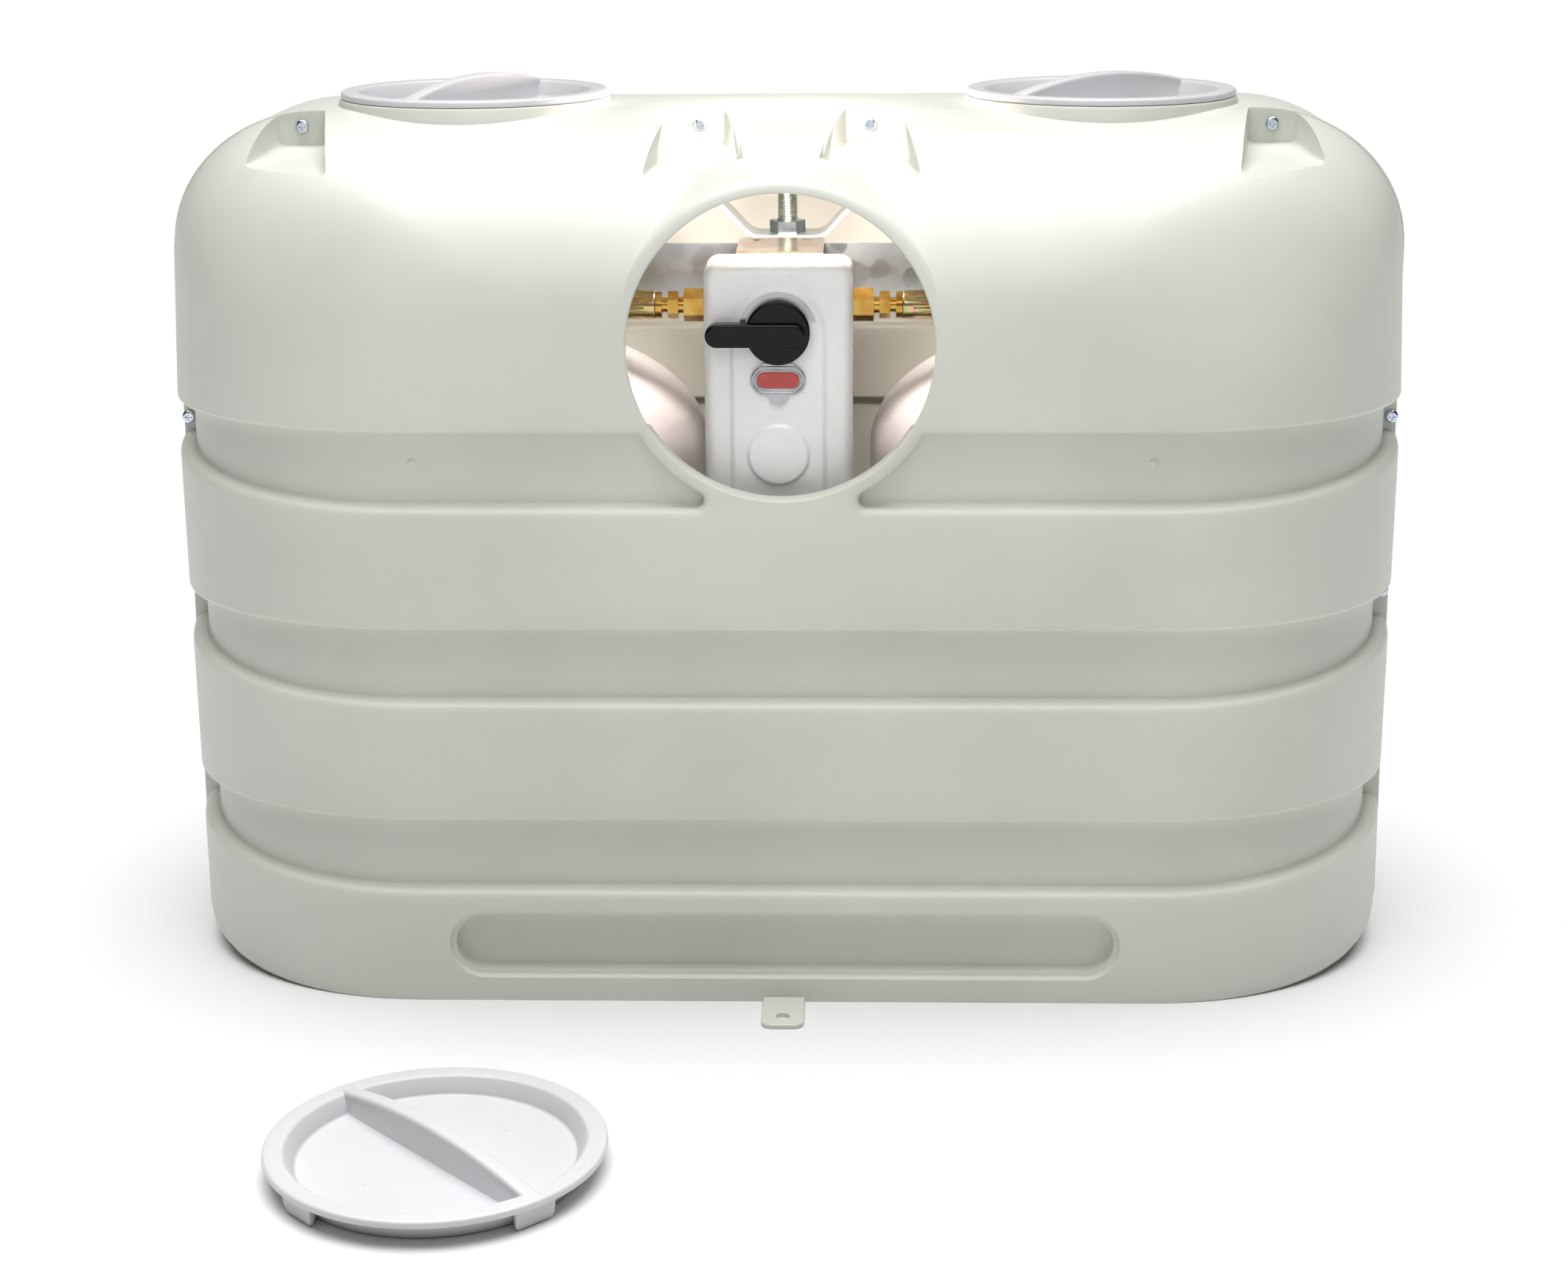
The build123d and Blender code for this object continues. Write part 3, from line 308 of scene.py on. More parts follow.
def moulded_polyethylene(name, settings, roughness):
    """White polyethylene, moulded: satin, with a faint orange peel and cloudy tone."""
    material, tree, where = start(name)
    if tree is None:
        return material
    cloud = add(tree, "ShaderNodeTexNoise", {"Scale": per_metre(140), "Detail": 3.0},
                {"Vector": (where, "Object")})
    ramp = add(tree, "ShaderNodeValToRGB", links={"Fac": (cloud, "Fac")})
    ramp.color_ramp.elements[0].position = 0.35
    ramp.color_ramp.elements[0].color = settings.shade
    ramp.color_ramp.elements[1].position = 0.65
    ramp.color_ramp.elements[1].color = settings.tone
    # peel of 2.5 mm, with grain of 0.7 mm over it, drawn coarse enough to show
    peel = add(tree, "ShaderNodeTexNoise", {"Scale": per_metre(2.5), "Detail": 2.0},
               {"Vector": (where, "Object")})
    bump = add(tree, "ShaderNodeBump", {"Strength": 0.05, "Distance": 0.0006}, {"Height": (peel, "Fac")})
    wipe = add(tree, "ShaderNodeMapRange", {"To Min": roughness - 0.05, "To Max": roughness + 0.06},
               {"Value": (cloud, "Fac")})
    shader = add(tree, "ShaderNodeBsdfPrincipled",
                 {"IOR": 1.51, "Subsurface Weight": 0.08, "Subsurface Scale": 0.004,
                  "Subsurface Radius": (1.0, 1.0, 0.9)},
                 {"Base Color": (ramp, "Color"), "Roughness": (wipe, "Result"), "Normal": (bump, "Normal")})
    close(tree, shader)
    return material


def glossy_abs(name, code, roughness=0.22, grain=0.02, shine=0.5):
    """ABS, injection moulded: glossy, with a very slight waviness."""
    material, tree, where = start(name)
    if tree is None:
        return material
    wave = add(tree, "ShaderNodeTexNoise", {"Scale": per_metre(6), "Detail": 2.0}, {"Vector": (where, "Object")})
    tint = add(tree, "ShaderNodeMixRGB", {"Fac": 0.5, "Color1": colour(code), "Color2": colour(code)})
    dark = [c * 0.93 for c in colour(code)[:3]] + [1.0]
    tint.inputs["Color2"].default_value = dark
    tree.links.new(wave.outputs["Fac"], tint.inputs["Fac"])
    bump = add(tree, "ShaderNodeBump", {"Strength": grain, "Distance": 0.0005}, {"Height": (wave, "Fac")})
    wipe = add(tree, "ShaderNodeMapRange", {"To Min": roughness - 0.04, "To Max": roughness + 0.06},
               {"Value": (wave, "Fac")})
    shader = add(tree, "ShaderNodeBsdfPrincipled", {"IOR": 1.53, "Specular IOR Level": shine},
                 {"Base Color": (tint, "Color"), "Roughness": (wipe, "Result"), "Normal": (bump, "Normal")})
    close(tree, shader)
    return material


def galvanised_steel(name, light="C6CDD1", dark="B0B8BC", spangle=9.0, roughness=0.32):
    """Steel, hot-dip galvanised: grey crystals a few millimetres wide, each its own tone."""
    material, tree, where = start(name)
    if tree is None:
        return material
    crystal = add(tree, "ShaderNodeTexVoronoi", {"Scale": per_metre(spangle)}, {"Vector": (where, "Object")})
    tone = add(tree, "ShaderNodeRGBToBW", links={"Color": (crystal, "Color")})
    ramp = add(tree, "ShaderNodeValToRGB", links={"Fac": (tone, "Val")})
    ramp.color_ramp.elements[0].color = colour(dark)
    ramp.color_ramp.elements[1].color = colour(light)
    wipe = add(tree, "ShaderNodeMapRange", {"To Min": roughness - 0.05, "To Max": roughness + 0.07},
               {"Value": (tone, "Val")})
    grain = add(tree, "ShaderNodeTexNoise", {"Scale": per_metre(1.2)}, {"Vector": (where, "Object")})
    bump = add(tree, "ShaderNodeBump", {"Strength": 0.06, "Distance": 0.0003}, {"Height": (grain, "Fac")})
    shader = add(tree, "ShaderNodeBsdfPrincipled", {"Metallic": 1.0},
                 {"Base Color": (ramp, "Color"), "Roughness": (wipe, "Result"), "Normal": (bump, "Normal")})
    close(tree, shader)
    return material


def plated_metal(name, tones, roughness=0.2, patch=9.0):
    """Metal with a thin plating: bright and even, its tone drifting where the plating thins."""
    material, tree, where = start(name)
    if tree is None:
        return material
    patches = add(tree, "ShaderNodeTexNoise", {"Scale": per_metre(patch), "Detail": 1.0},
                  {"Vector": (where, "Object")})
    ramp = add(tree, "ShaderNodeValToRGB", links={"Fac": (patches, "Fac")})
    stops = ramp.color_ramp.elements
    while len(stops) < len(tones):
        stops.new(0.5)
    for k, tone in enumerate(tones):
        stops[k].position = 0.3 + 0.4 * k / (len(tones) - 1)
        stops[k].color = colour(tone)
    wipe = add(tree, "ShaderNodeMapRange", {"To Min": roughness - 0.04, "To Max": roughness + 0.05},
               {"Value": (patches, "Fac")})
    scratch = add(tree, "ShaderNodeTexNoise", {"Scale": per_metre(0.8)}, {"Vector": (where, "Object")})
    bump = add(tree, "ShaderNodeBump", {"Strength": 0.02, "Distance": 0.0002}, {"Height": (scratch, "Fac")})
    shader = add(tree, "ShaderNodeBsdfPrincipled", {"Metallic": 1.0},
                 {"Base Color": (ramp, "Color"), "Roughness": (wipe, "Result"), "Normal": (bump, "Normal")})
    close(tree, shader)
    return material


def enamel(name, light, dark, roughness=0.3, peel=3.0):
    """Steel, sprayed or powder coated: even tone, orange peel, a little dust."""
    material, tree, where = start(name)
    if tree is None:
        return material
    dust = add(tree, "ShaderNodeTexNoise", {"Scale": per_metre(35), "Detail": 6.0}, {"Vector": (where, "Object")})
    ramp = add(tree, "ShaderNodeValToRGB", links={"Fac": (dust, "Fac")})
    ramp.color_ramp.elements[0].position = 0.4
    ramp.color_ramp.elements[0].color = colour(dark)
    ramp.color_ramp.elements[1].position = 0.6
    ramp.color_ramp.elements[1].color = colour(light)
    skin = add(tree, "ShaderNodeTexNoise", {"Scale": per_metre(peel)}, {"Vector": (where, "Object")})
    bump = add(tree, "ShaderNodeBump", {"Strength": 0.08, "Distance": 0.0004}, {"Height": (skin, "Fac")})
    wipe = add(tree, "ShaderNodeMapRange", {"To Min": roughness - 0.05, "To Max": roughness + 0.12},
               {"Value": (dust, "Fac")})
    shader = add(tree, "ShaderNodeBsdfPrincipled", {"IOR": 1.5, "Coat Weight": 0.2, "Coat Roughness": 0.15},
                 {"Base Color": (ramp, "Color"), "Roughness": (wipe, "Result"), "Normal": (bump, "Normal")})
    close(tree, shader)
    return material


def hose_rubber():
    """Rubber gas hose, extruded: dull black with a fine cloth-wrap mark."""
    material, tree, where = start("extruded_rubber")
    if tree is None:
        return material
    wrap = add(tree, "ShaderNodeTexNoise", {"Scale": per_metre(1.5), "Detail": 3.0},
               {"Vector": (where, "Object")})
    ramp = add(tree, "ShaderNodeValToRGB", links={"Fac": (wrap, "Fac")})
    ramp.color_ramp.elements[0].color = colour("17171A")
    ramp.color_ramp.elements[1].color = colour("2E2E31")
    bump = add(tree, "ShaderNodeBump", {"Strength": 0.15, "Distance": 0.0003}, {"Height": (wrap, "Fac")})
    shader = add(tree, "ShaderNodeBsdfPrincipled", {"Roughness": 0.62, "IOR": 1.52},
                 {"Base Color": (ramp, "Color"), "Normal": (bump, "Normal")})
    close(tree, shader)
    return material


def red_lens():
    """Acrylic indicator, moulded clear red over a red flag: deep colour under a sharp gloss."""
    material, tree, where = start("moulded_red_acrylic")
    if tree is None:
        return material
    depth = add(tree, "ShaderNodeTexNoise", {"Scale": per_metre(7), "Detail": 1.0}, {"Vector": (where, "Object")})
    ramp = add(tree, "ShaderNodeValToRGB", links={"Fac": (depth, "Fac")})
    ramp.color_ramp.elements[0].color = colour("A5231C")
    ramp.color_ramp.elements[1].color = colour("CE4438")
    shader = add(tree, "ShaderNodeBsdfPrincipled", {"Roughness": 0.08, "IOR": 1.49, "Coat Weight": 0.6,
                                                    "Coat Roughness": 0.03},
                 {"Base Color": (ramp, "Color")})
    close(tree, shader)
    return material


# ---- the cover --------------------------------------------------------------------------
class Form:
    """Outer or inner skin of a shell: where a row and a station meet."""

    def __init__(self, inset, rear):
        self.inset = inset
        self.straight = REAR_DEPTH - FACE_DEPTH if rear else 0.0
        self.depth = REAR_DEPTH if rear else FACE_DEPTH

    def section(self, turn, inset):
        """Half width, top and foot radius of the outline at a turn of the rounding."""
        width = HALF - FACE_SIDE + (FACE_SIDE - inset) * cos(turn)
        top = TOP - FACE_TOP + (FACE_TOP - inset) * cos(turn)
        foot = FOOT_FACE + (FOOT_FLANGE - FOOT_FACE) * cos(turn) ** 2
        return width, top, foot

    def depth_at(self, station, inset):
        """Distance in front of the parting plane."""
        back, turn = station
        return back + (FACE_DEPTH - inset) * sin(turn)

    def half_at(self, station, z, inset):
        """Half width of the outline at a height."""
        width, top, foot = self.section(station[1], inset)
        rx, rz = CORNER_X - inset, CORNER_Z - inset
        if z < foot:
            return width - foot + sqrt(max(0.0, foot ** 2 - (foot - z) ** 2))
        if z > top - rz:
            rise = min(1.0, (z - top + rz) / rz)
            return width - rx + rx * sqrt(max(0.0, 1 - rise ** 2))
        return width

    def side(self, station, row):
        """Point (x, depth, z) of the right-hand side for a row."""
        kind, value, extra = row
        inset = self.inset
        if kind == "shoulder":
            return self.shoulder(station, value)
        if kind == "low":
            inset += extra[1]
            share = 1 - self.depth_at(station, 0) / self.depth
            z = GROOVE_LOW + value * GROOVE_PITCH + GROOVE_RISE * share + extra[0] - self.inset
        elif kind == "high":
            inset += extra[1]
            z = GROOVE_LOW + value * GROOVE_PITCH + GROOVE_HEIGHT + extra[0] + self.inset
        elif kind == "between":
            below, above, share = value
            z = self.side(station, below)[2] * (1 - share) + self.side(station, above)[2] * share
            inset += extra
        else:
            z = value
        return self.half_at(station, z, inset), self.depth_at(station, inset), z

    def shoulder(self, station, share):
        """Point on the upper corner, by its share of the way from the last level row to the top."""
        inset = self.inset
        width, top, _ = self.section(station[1], inset)
        rx, rz = CORNER_X - inset, CORNER_Z - inset
        first = SHOULDER_Z + self.inset
        start_turn = asin(max(0.0, min(1.0, (first - top + rz) / rz)))
        straight = max(0.0, top - rz - first)
        arc = (pi / 2 - start_turn) * (rx + rz) / 2
        along = share * (straight + arc)
        if along < straight:
            return width, self.depth_at(station, inset), first + along
        turn = start_turn + (along - straight) / arc * (pi / 2 - start_turn)
        return width - rx + rx * cos(turn), self.depth_at(station, inset), top - rz + rz * sin(turn)


SHOULDER_Z = 362.0             # rows are level up to here
FACE_COLUMNS = 44


def cover_rows(settings):
    """Rows from the foot up: level ones, the groove edges' roundings, then the shoulder."""
    rows = [("at", z, 0) for z in (0.0, 0.6, 2.0, 5.0, 10.0, 16.0, 24.0)]
    steps, deep = settings.steps, settings.groove
    for n in range(GROOVES):
        ledge = [("low", n, (run - settings.ledge, drop)) for run, drop in quarter(settings.ledge, steps)]
        root = [("low", n, (drop, deep - settings.root + run)) for run, drop in quarter(settings.root, steps)]
        roof = [("high", n, (-drop, deep - settings.root + run)) for run, drop in
                reversed(quarter(settings.root, steps))]
        lip = [("high", n, (settings.lip - run, drop)) for run, drop in reversed(quarter(settings.lip, steps))]
        below, above = rows[-1], ledge[0]
        rows += [("between", (below, above, k / 5), 0) for k in range(1, 5)]
        rows += ledge + root
        rows += [("between", (root[-1], roof[0], k / 4), deep) for k in range(1, 4)]
        rows += roof + lip
    last = rows[-1]
    rows += [("between", (last, ("at", SHOULDER_Z, 0), k / 2), 0) for k in (1,)]
    rows += [("shoulder", k / 26, None) for k in range(0, 27)]
    return rows


def skin(form, rows, stations):
    """Points and faces of one skin, and the edges along its rim and its foot."""
    points, faces = [], []
    lines = []
    for row in rows:
        right = [form.side(station, row) for station in stations]
        half, depth, z = right[-1]
        line = [(-x, d, h) for x, d, h in right]
        line += [(half * (2 * k / FACE_COLUMNS - 1), depth, z) for k in range(1, FACE_COLUMNS)]
        line += right[::-1]
        lines.append(range(len(points), len(points) + len(line)))
        points += line
    width = len(lines[0])
    for a, b in zip(lines, lines[1:]):
        faces += [(a[k], a[k + 1], b[k + 1], b[k]) for k in range(width - 1)]
    # the top: between the two shoulders, from the face back to the flange
    count = len(stations)
    before = [lines[-1][k] for k in range(count - 1, width - count + 1)]
    for n in range(count - 2, -1, -1):
        left, right = lines[-1][n], lines[-1][width - 1 - n]
        half, depth, z = points[right]
        middle = []
        for k in range(1, FACE_COLUMNS):
            points.append((half * (2 * k / FACE_COLUMNS - 1), depth, z))
            middle.append(len(points) - 1)
        line = [left] + middle + [right]
        faces += [(before[k], before[k + 1], line[k + 1], line[k]) for k in range(FACE_COLUMNS)]
        before = line
    rim = [line[0] for line in lines] + before[1:-1] + [line[-1] for line in reversed(lines)]
    return points, faces, rim, list(lines[0])


def stations_of(rear):
    """Stations from the flange to the face, as a straight run and a turn of the rounding."""
    arc = [radians(90 * k / 26) for k in range(27)]
    if not rear:
        return [(0.0, turn) for turn in arc]
    straight = REAR_DEPTH - FACE_DEPTH
    return [(straight * k / 6, 0.0) for k in range(6)] + [(straight, turn) for turn in arc]


def draft(x, z):
    """The upper band leans in a little on the way to the top."""
    lean = LEAN * max(0.0, min(1.0, (z - LEAN_FROM) / LEAN_OVER))
    return x * (1 - lean / HALF)


def placed(points, rear):
    """Points given by depth, put in front of or behind the parting plane."""
    away = 1 if rear else -1
    return [(draft(x, z), PART_Y + away * d, z) for x, d, z in points]


def shell_body(name, settings, rear):
    """Closed wall of one shell between its outer and inner skins."""
    rows, stations = cover_rows(settings), stations_of(rear)
    points, faces, rim, foot = skin(Form(0.0, rear), rows, stations)
    outer_edge = rim + foot[::-1][1:-1]
    shift = len(points)
    more, inner_faces, inner_rim, inner_foot = skin(Form(settings.wall, rear), rows, stations)
    faces += [tuple(reversed([k + shift for k in face])) for face in inner_faces]
    inner_edge = [k + shift for k in inner_rim + inner_foot[::-1][1:-1]]
    for k in range(len(outer_edge)):
        j = (k + 1) % len(outer_edge)
        faces.append((outer_edge[k], outer_edge[j], inner_edge[j], inner_edge[k]))
    return new_object(name, placed(points + more, rear), faces)


def filled_form(inset, settings, rear):
    """The whole space inside a skin, as a solid."""
    points, faces, rim, foot = skin(Form(inset, rear), cover_rows(settings), stations_of(rear))
    faces += [tuple(rim), tuple(foot)]
    return new_object("form", placed(points, rear), faces)


def outline_loop(grow_side, grow_top, foot, low, corner_shrink=0.0, count=20):
    """The cover's outline at the parting plane as a loop of (x, z)."""
    width, top = HALF + grow_side, TOP + grow_top
    rx, rz = CORNER_X - corner_shrink, CORNER_Z - corner_shrink
    loop = []
    for k in range(count + 1):
        turn = radians(90 * k / count)
        loop.append((width - rx + rx * cos(turn), top - rz + rz * sin(turn)))
    for k in range(count + 1):
        turn = radians(90 + 90 * k / count)
        loop.append((rx - width + rx * cos(turn), top - rz + rz * sin(turn)))
    for start_turn, x in ((180, foot - width), (270, width - foot)):
        for k in range(count // 2 + 1):
            turn = radians(start_turn + 90 * k / (count // 2))
            loop.append((x + foot * cos(turn), low + foot + foot * sin(turn)))
    return loop


def flange(away, settings):
    """Flat rim at the parting plane."""
    inset = settings.groove + settings.wall
    outer = outline_loop(FLANGE_PROUD, 0.0, FOOT_FLANGE, 0.0)
    inner = outline_loop(-inset, -inset, 1.0, -20.0, settings.groove)
    outer, inner = ([(draft(x, z), z) for x, z in loop] for loop in (outer, inner))
    plate = loft("flange", [upright(outer, 0, PART_Y + away * d, 0) for d in (0.0, FLANGE_THICK)])
    opening = loft("opening", [upright(inner, 0, PART_Y + away * d, 0) for d in (-5.0, FLANGE_THICK + 5.0)])
    return combine(plate, [opening], "DIFFERENCE")


def pocket_body(x, grow):
    """Screw pocket before the flange, as a wedge with a sloping floor."""
    floor_z = TOP - 20.5 - grow
    length, slope, above = 90.0, 9.0, TOP + 40.0
    near, wide = 14.25 + grow, 29.0 + grow
    back = PART_Y - (1.5 if grow else 3.02)
    loops = []
    for y, half, z in ((back, near, floor_z), (PART_Y - length - grow, wide, floor_z - slope)):
        flank = [(half, above), (half, z + 3), (half - 1, z + 0.9), (half - 3, z)]
        loops.append([(x - u, y, v) for u, v in flank] + [(x + u, y, v) for u, v in reversed(flank)])
    return loft("pocket", loops)


def boss(side):
    """Raised round seat of a top cap."""
    radius = HOLE_R + 4.5
    profile = [(radius + 5.0, TOP - 52.0), (radius + 1.2, TOP - 2.0), (radius, TOP + 1.5)]
    profile += [(radius - run, BOSS_TOP - 1.5 + 1.5 * sin(acos(1 - run / 1.5))) for run in (0.15, 0.5, 1.0, 1.5)]
    return loft("boss", [level(round_loop(r, 128), side * abs(CAP_X), 0, z) for r, z in profile])


def half_space(rear):
    """Body that holds everything on the far side of the parting plane."""
    away = -1 if rear else 1
    loop = rounded_loop(900, 900, 5, 0, 1)
    ys = (PART_Y, PART_Y + away * 500)
    return loft("half", [upright(loop, 0, y, 250) for y in ys])


def ring_outline(shrink, flare=0.0):
    """Outline of the window's ring and the ground under it, between the ends of the groove."""
    radius, corner = WINDOW_R + 8.0 - shrink, 5.0 + shrink
    ledge_z = GROOVE_LOW + 2 * GROOVE_PITCH - shrink - SUNK
    corner_z = ledge_z + corner
    corner_x = sqrt((radius + corner) ** 2 - (WINDOW_Z - corner_z) ** 2)
    meet = atan2(corner_z - WINDOW_Z, corner_x)
    loop = []
    for k in range(181):
        turn = meet + (pi - 2 * meet) * k / 180
        grown = radius + flare * max(0.0, sin(turn)) ** 0.7
        loop.append((grown * cos(turn), WINDOW_Z + grown * sin(turn)))
    left = []
    for k in range(1, 9):
        turn = -meet - (pi / 2 - meet) * k / 8
        left.append((corner * cos(turn) - corner_x, corner_z + corner * sin(turn)))
    right = [(-x, z) for x, z in reversed(left)]
    return loop + left + [(-corner_x, ledge_z - 12), (corner_x, ledge_z - 12)] + right


def collar(face_y, away, settings):
    """Ring round the window, its upper side flaring back into the cover."""
    levels = [(settings.ledge - run, drop, 0.0) for run, drop in quarter(settings.ledge, settings.steps)]
    levels += [(0.0, d, 9.0 * (d / 40.0) ** 2) for d in (9, 14, 20, 27, 34, 41, 48, 55)]
    return loft("collar", [upright(ring_outline(g, f), 0, face_y - away * (d + SUNK), 0) for g, d, f in levels])


def window_cut(face_y, away):
    """Body that opens the window, with a soft front edge."""
    profile = [(WINDOW_R + 1.6, -1.0)]
    profile += [(WINDOW_R + 1.6 - run, 1.6 - 1.6 * cos(asin(run / 1.6))) for run in (0.0, 0.5, 1.0, 1.4, 1.6)]
    profile += [(WINDOW_R, 70.0)]
    return loft("window", [upright(round_loop(r, 180), 0, face_y - away * d, WINDOW_Z) for r, d in profile])


def recess_body(face_y, grow, deep, soft):
    """Long recess with soft lip and root, or the wall behind it."""
    length, height, z, _ = RECESS
    steps = [(soft, -1.0)] if soft else []
    steps += [(soft - run, drop) for run, drop in
              [(soft * (1 - cos(pi / 2 * k / 5)), soft * sin(pi / 2 * k / 5)) for k in range(6)]] if soft else []
    root = 2.5
    steps += [(grow, deep - root)] if soft else [(grow, 1.0), (grow, deep - root)]
    steps += [(grow - root * (1 - cos(pi / 2 * k / 4)), deep - root + root * sin(pi / 2 * k / 4)) for k in
              range(1, 5)]
    return loft("recess", [upright(slot_loop(length, height, g), 0, face_y + d, z) for g, d in steps])


def tab(face_y):
    """Fixing tab at the foot of the face."""
    reach, half, thick, corner = TAB_REACH, TAB_HALF, TAB_THICK, TAB_CORNER
    loop = [(half, face_y + 3.0)]
    for x, start_turn in ((half - corner, 0), (corner - half, -90)):
        for k in range(7):
            turn = radians(start_turn - 90 * k / 6)
            loop.append((x + corner * cos(turn), face_y - reach + corner + corner * sin(turn)))
    loop.append((-half, face_y + 3.0))
    middle = (0, face_y - reach / 2)
    loops = []
    for z, shrink in ((0, 0.97), (0.5, 1.0), (thick - 0.5, 1.0), (thick, 0.97)):
        loops.append([(x * shrink, middle[1] + (y - middle[1]) * shrink, z) for x, y in loop])
    return loft("tab", loops)


def pip(x, y, z, radius=2.6, rise=1.0):
    """Small round mark that an ejector pin leaves."""
    profile = [(radius + 0.3, 0.4), (radius, 0.0), (radius * 0.8, -rise * 0.7), (radius * 0.4, -rise),
               (0.1, -rise)]
    return loft("pip", [upright(round_loop(r, 20), x, y + d, z) for r, d in profile])


def cover_shell(name, settings, rear):
    """One finished shell."""
    away = 1 if rear else -1
    face_y = PART_Y + away * (REAR_DEPTH if rear else FACE_DEPTH)
    body = shell_body(name, settings, rear)
    outer = filled_form(0.0, settings, rear)
    ring = combine(collar(face_y, away, settings), [filled_form(settings.wall, settings, rear)], "DIFFERENCE")
    adds = [flange(away, settings), ring]
    seats = [boss(side) for _, side in SIDES]
    both = combine(seats[0], seats[1:], "UNION")
    adds.append(combine(both, [half_space(rear)], "DIFFERENCE"))
    cuts = [loft("hole", [level(round_loop(HOLE_R, 128), side * abs(CAP_X), 0, z) for z in (TOP - 90, TOP + 20)])
             for _, side in SIDES]
    if not rear:
        xs = [side * x for _, side in SIDES for x in POCKET_X]
        walls = combine(pocket_body(xs[0], 3.0), [pocket_body(x, 3.0) for x in xs[1:]], "UNION")
        adds.append(combine(walls, [outer], "INTERSECT"))
        adds += [recess_body(face_y, 3.0, RECESS[3] + 3.0, 0.0), tab(face_y)]
        adds += [pip(side * 213, face_y + settings.groove, 330) for _, side in SIDES]
        cuts += [pocket_body(x, 0.0) for x in xs]
        cuts += [window_cut(face_y, away), recess_body(face_y, 0.0, RECESS[3], 3.5)]
        cuts.append(loft("tab_hole", [level(round_loop(TAB_HOLE_R, 32), 0, face_y - 28, z) for z in (-1, 4)]))
    else:
        bpy.data.objects.remove(outer)
    body = combine(body, adds, "UNION")
    return combine(body, cuts, "DIFFERENCE")


class TANKSET_OT_cover(bpy.types.Operator):
    """Two moulded shells with their grooves, flanges and seats"""
    bl_idname = "tankset.cover"
    bl_label = "Cover shells"

    def execute(self, context):
        settings = context.scene.tankset_cover
        plastic = moulded_polyethylene("thermoformed_polyethylene", settings, 0.42)
        for name, rear in (("front_shell", False), ("rear_shell", True)):
            piece = cover_shell(name + "_skin", settings, rear)
            finish_piece(piece, "cover", "cover_plastic", plastic, name)
        return {"FINISHED"}


# ---- caps -------------------------------------------------------------------------------
def cap_piece(name, node, hole, turn, settings):
    """Push-in cap: dished disc, arched finger bar and four hooks."""
    low, high = low_high(node)
    x, y = (low[0] + high[0]) / 2, (low[1] + high[1]) / 2
    base = low[2] + 12.0                      # the rim's underside stands over the hooks
    rim, skirt, soft = hole + 3.5, hole - 2.5, settings.rounding
    edge, ground, deep = hole - 9.0, hole - 13.5, -6.0
    profile = [(0.4, -12.0), (skirt - 7.5, -12.0), (skirt - 6.2, -11.0), (skirt - 1.0, -1.2), (skirt, 0.0),
               (rim - 0.7, 0.0), (rim - 0.2, 0.2), (rim, 0.7)]
    profile += [(rim - soft + soft * cos(pi / 2 * k / 4),
                 4.0 - soft + soft * sin(pi / 2 * k / 4)) for k in range(5)]
    profile += [(edge + 3.5 - 3.0 * sin(pi / 2.6 * k / 5),
                 4.0 - 2.6 * (1 - cos(pi / 2.6 * k / 5))) for k in range(6)]
    profile += [(ground + 1.2 - 3.2 * (1 - cos(pi / 2.6 * k / 5)), deep + 2.4 * (1 - sin(pi / 2 * k / 5)))
                for k in range(6)]
    profile += [(ground * 0.5, deep), (0.4, deep)]
    disc = loft(name, [level(round_loop(r, 144), 0, 0, z) for r, z in profile])
    width, stations = settings.bar_width, []
    for k in range(41):
        at = (rim - 5.0) * (k / 20 - 1)
        top = 3.9 + settings.bar_rise * (1 - (at / (rim - 5.0)) ** 2)
        half, loop = width / 2, []
        for side in (1, -1):
            arc = [(side * (half - 2.6 + 2.6 * cos(pi / 2 * j / 5)), top - 2.6 + 2.6 * sin(pi / 2 * j / 5))
                   for j in range(6)]
            flank = [(side * (half + 1.2), deep - 1.0), (side * (half + 0.9), deep + 0.6),
                     (side * half, deep + 2.4)]
            part = flank + arc
            loop += part if side == 1 else part[::-1]
        stations.append([(at, u, v) for u, v in loop])
    others = [loft("bar", stations)]
    for k in range(4):
        loops = []
        for r, drop, half in ((hole - 7.0, -8.5, 9.5), (hole - 4.5, -11.4, 11.0), (hole - 2.2, -12.0, 12.0),
                              (hole - 1.2, -11.2, 12.2), (hole - 0.6, -8.0, 12.4)):
            loops.append([(r, -half, 0.5), (r, -half, drop + 2.5), (r, -half + 0.9, drop + 0.7),
                          (r, -half + 3.0, drop), (r, half - 3.0, drop), (r, half - 0.9, drop + 0.7),
                          (r, half, drop + 2.5), (r, half, 0.5)])
        hook = loft("hook", loops)
        hook.data.transform(Matrix.Rotation(radians(90 * k), 4, "Z"))
        others.append(hook)
    for k in (1, -1):
        dot = pip(0, 0, 0, 1.3, 0.5)
        place = Matrix.Translation((0, k * hole * 0.52 * MM, deep * MM))
        dot.data.transform(place @ Matrix.Rotation(-pi / 2, 4, "X"))
        others.append(dot)
    disc = combine(disc, others, "UNION")
    disc.data.transform(Matrix.Translation((x * MM, y * MM, base * MM)) @ Matrix.Rotation(radians(turn), 4, "Z"))
    return disc


class TANKSET_OT_caps(bpy.types.Operator):
    """Two caps on top and the window's cap on the ground"""
    bl_idname = "tankset.caps"
    bl_label = "Caps"

    def execute(self, context):
        settings = context.scene.tankset_cap
        plastic = moulded_polyethylene("injected_polyethylene", settings, 0.38)
        for node, body, hole, turn in (("top_cap_left", "left_lid", HOLE_R, 66.0),
                                       ("top_cap_right", "right_lid", HOLE_R, 44.0),
                                       ("front_cap", "front_lid", WINDOW_R, -46.5)):
            finish_piece(cap_piece(node + "_disc", node, hole, turn, settings), body, "cap_plastic", plastic,
                         node)
        return {"FINISHED"}


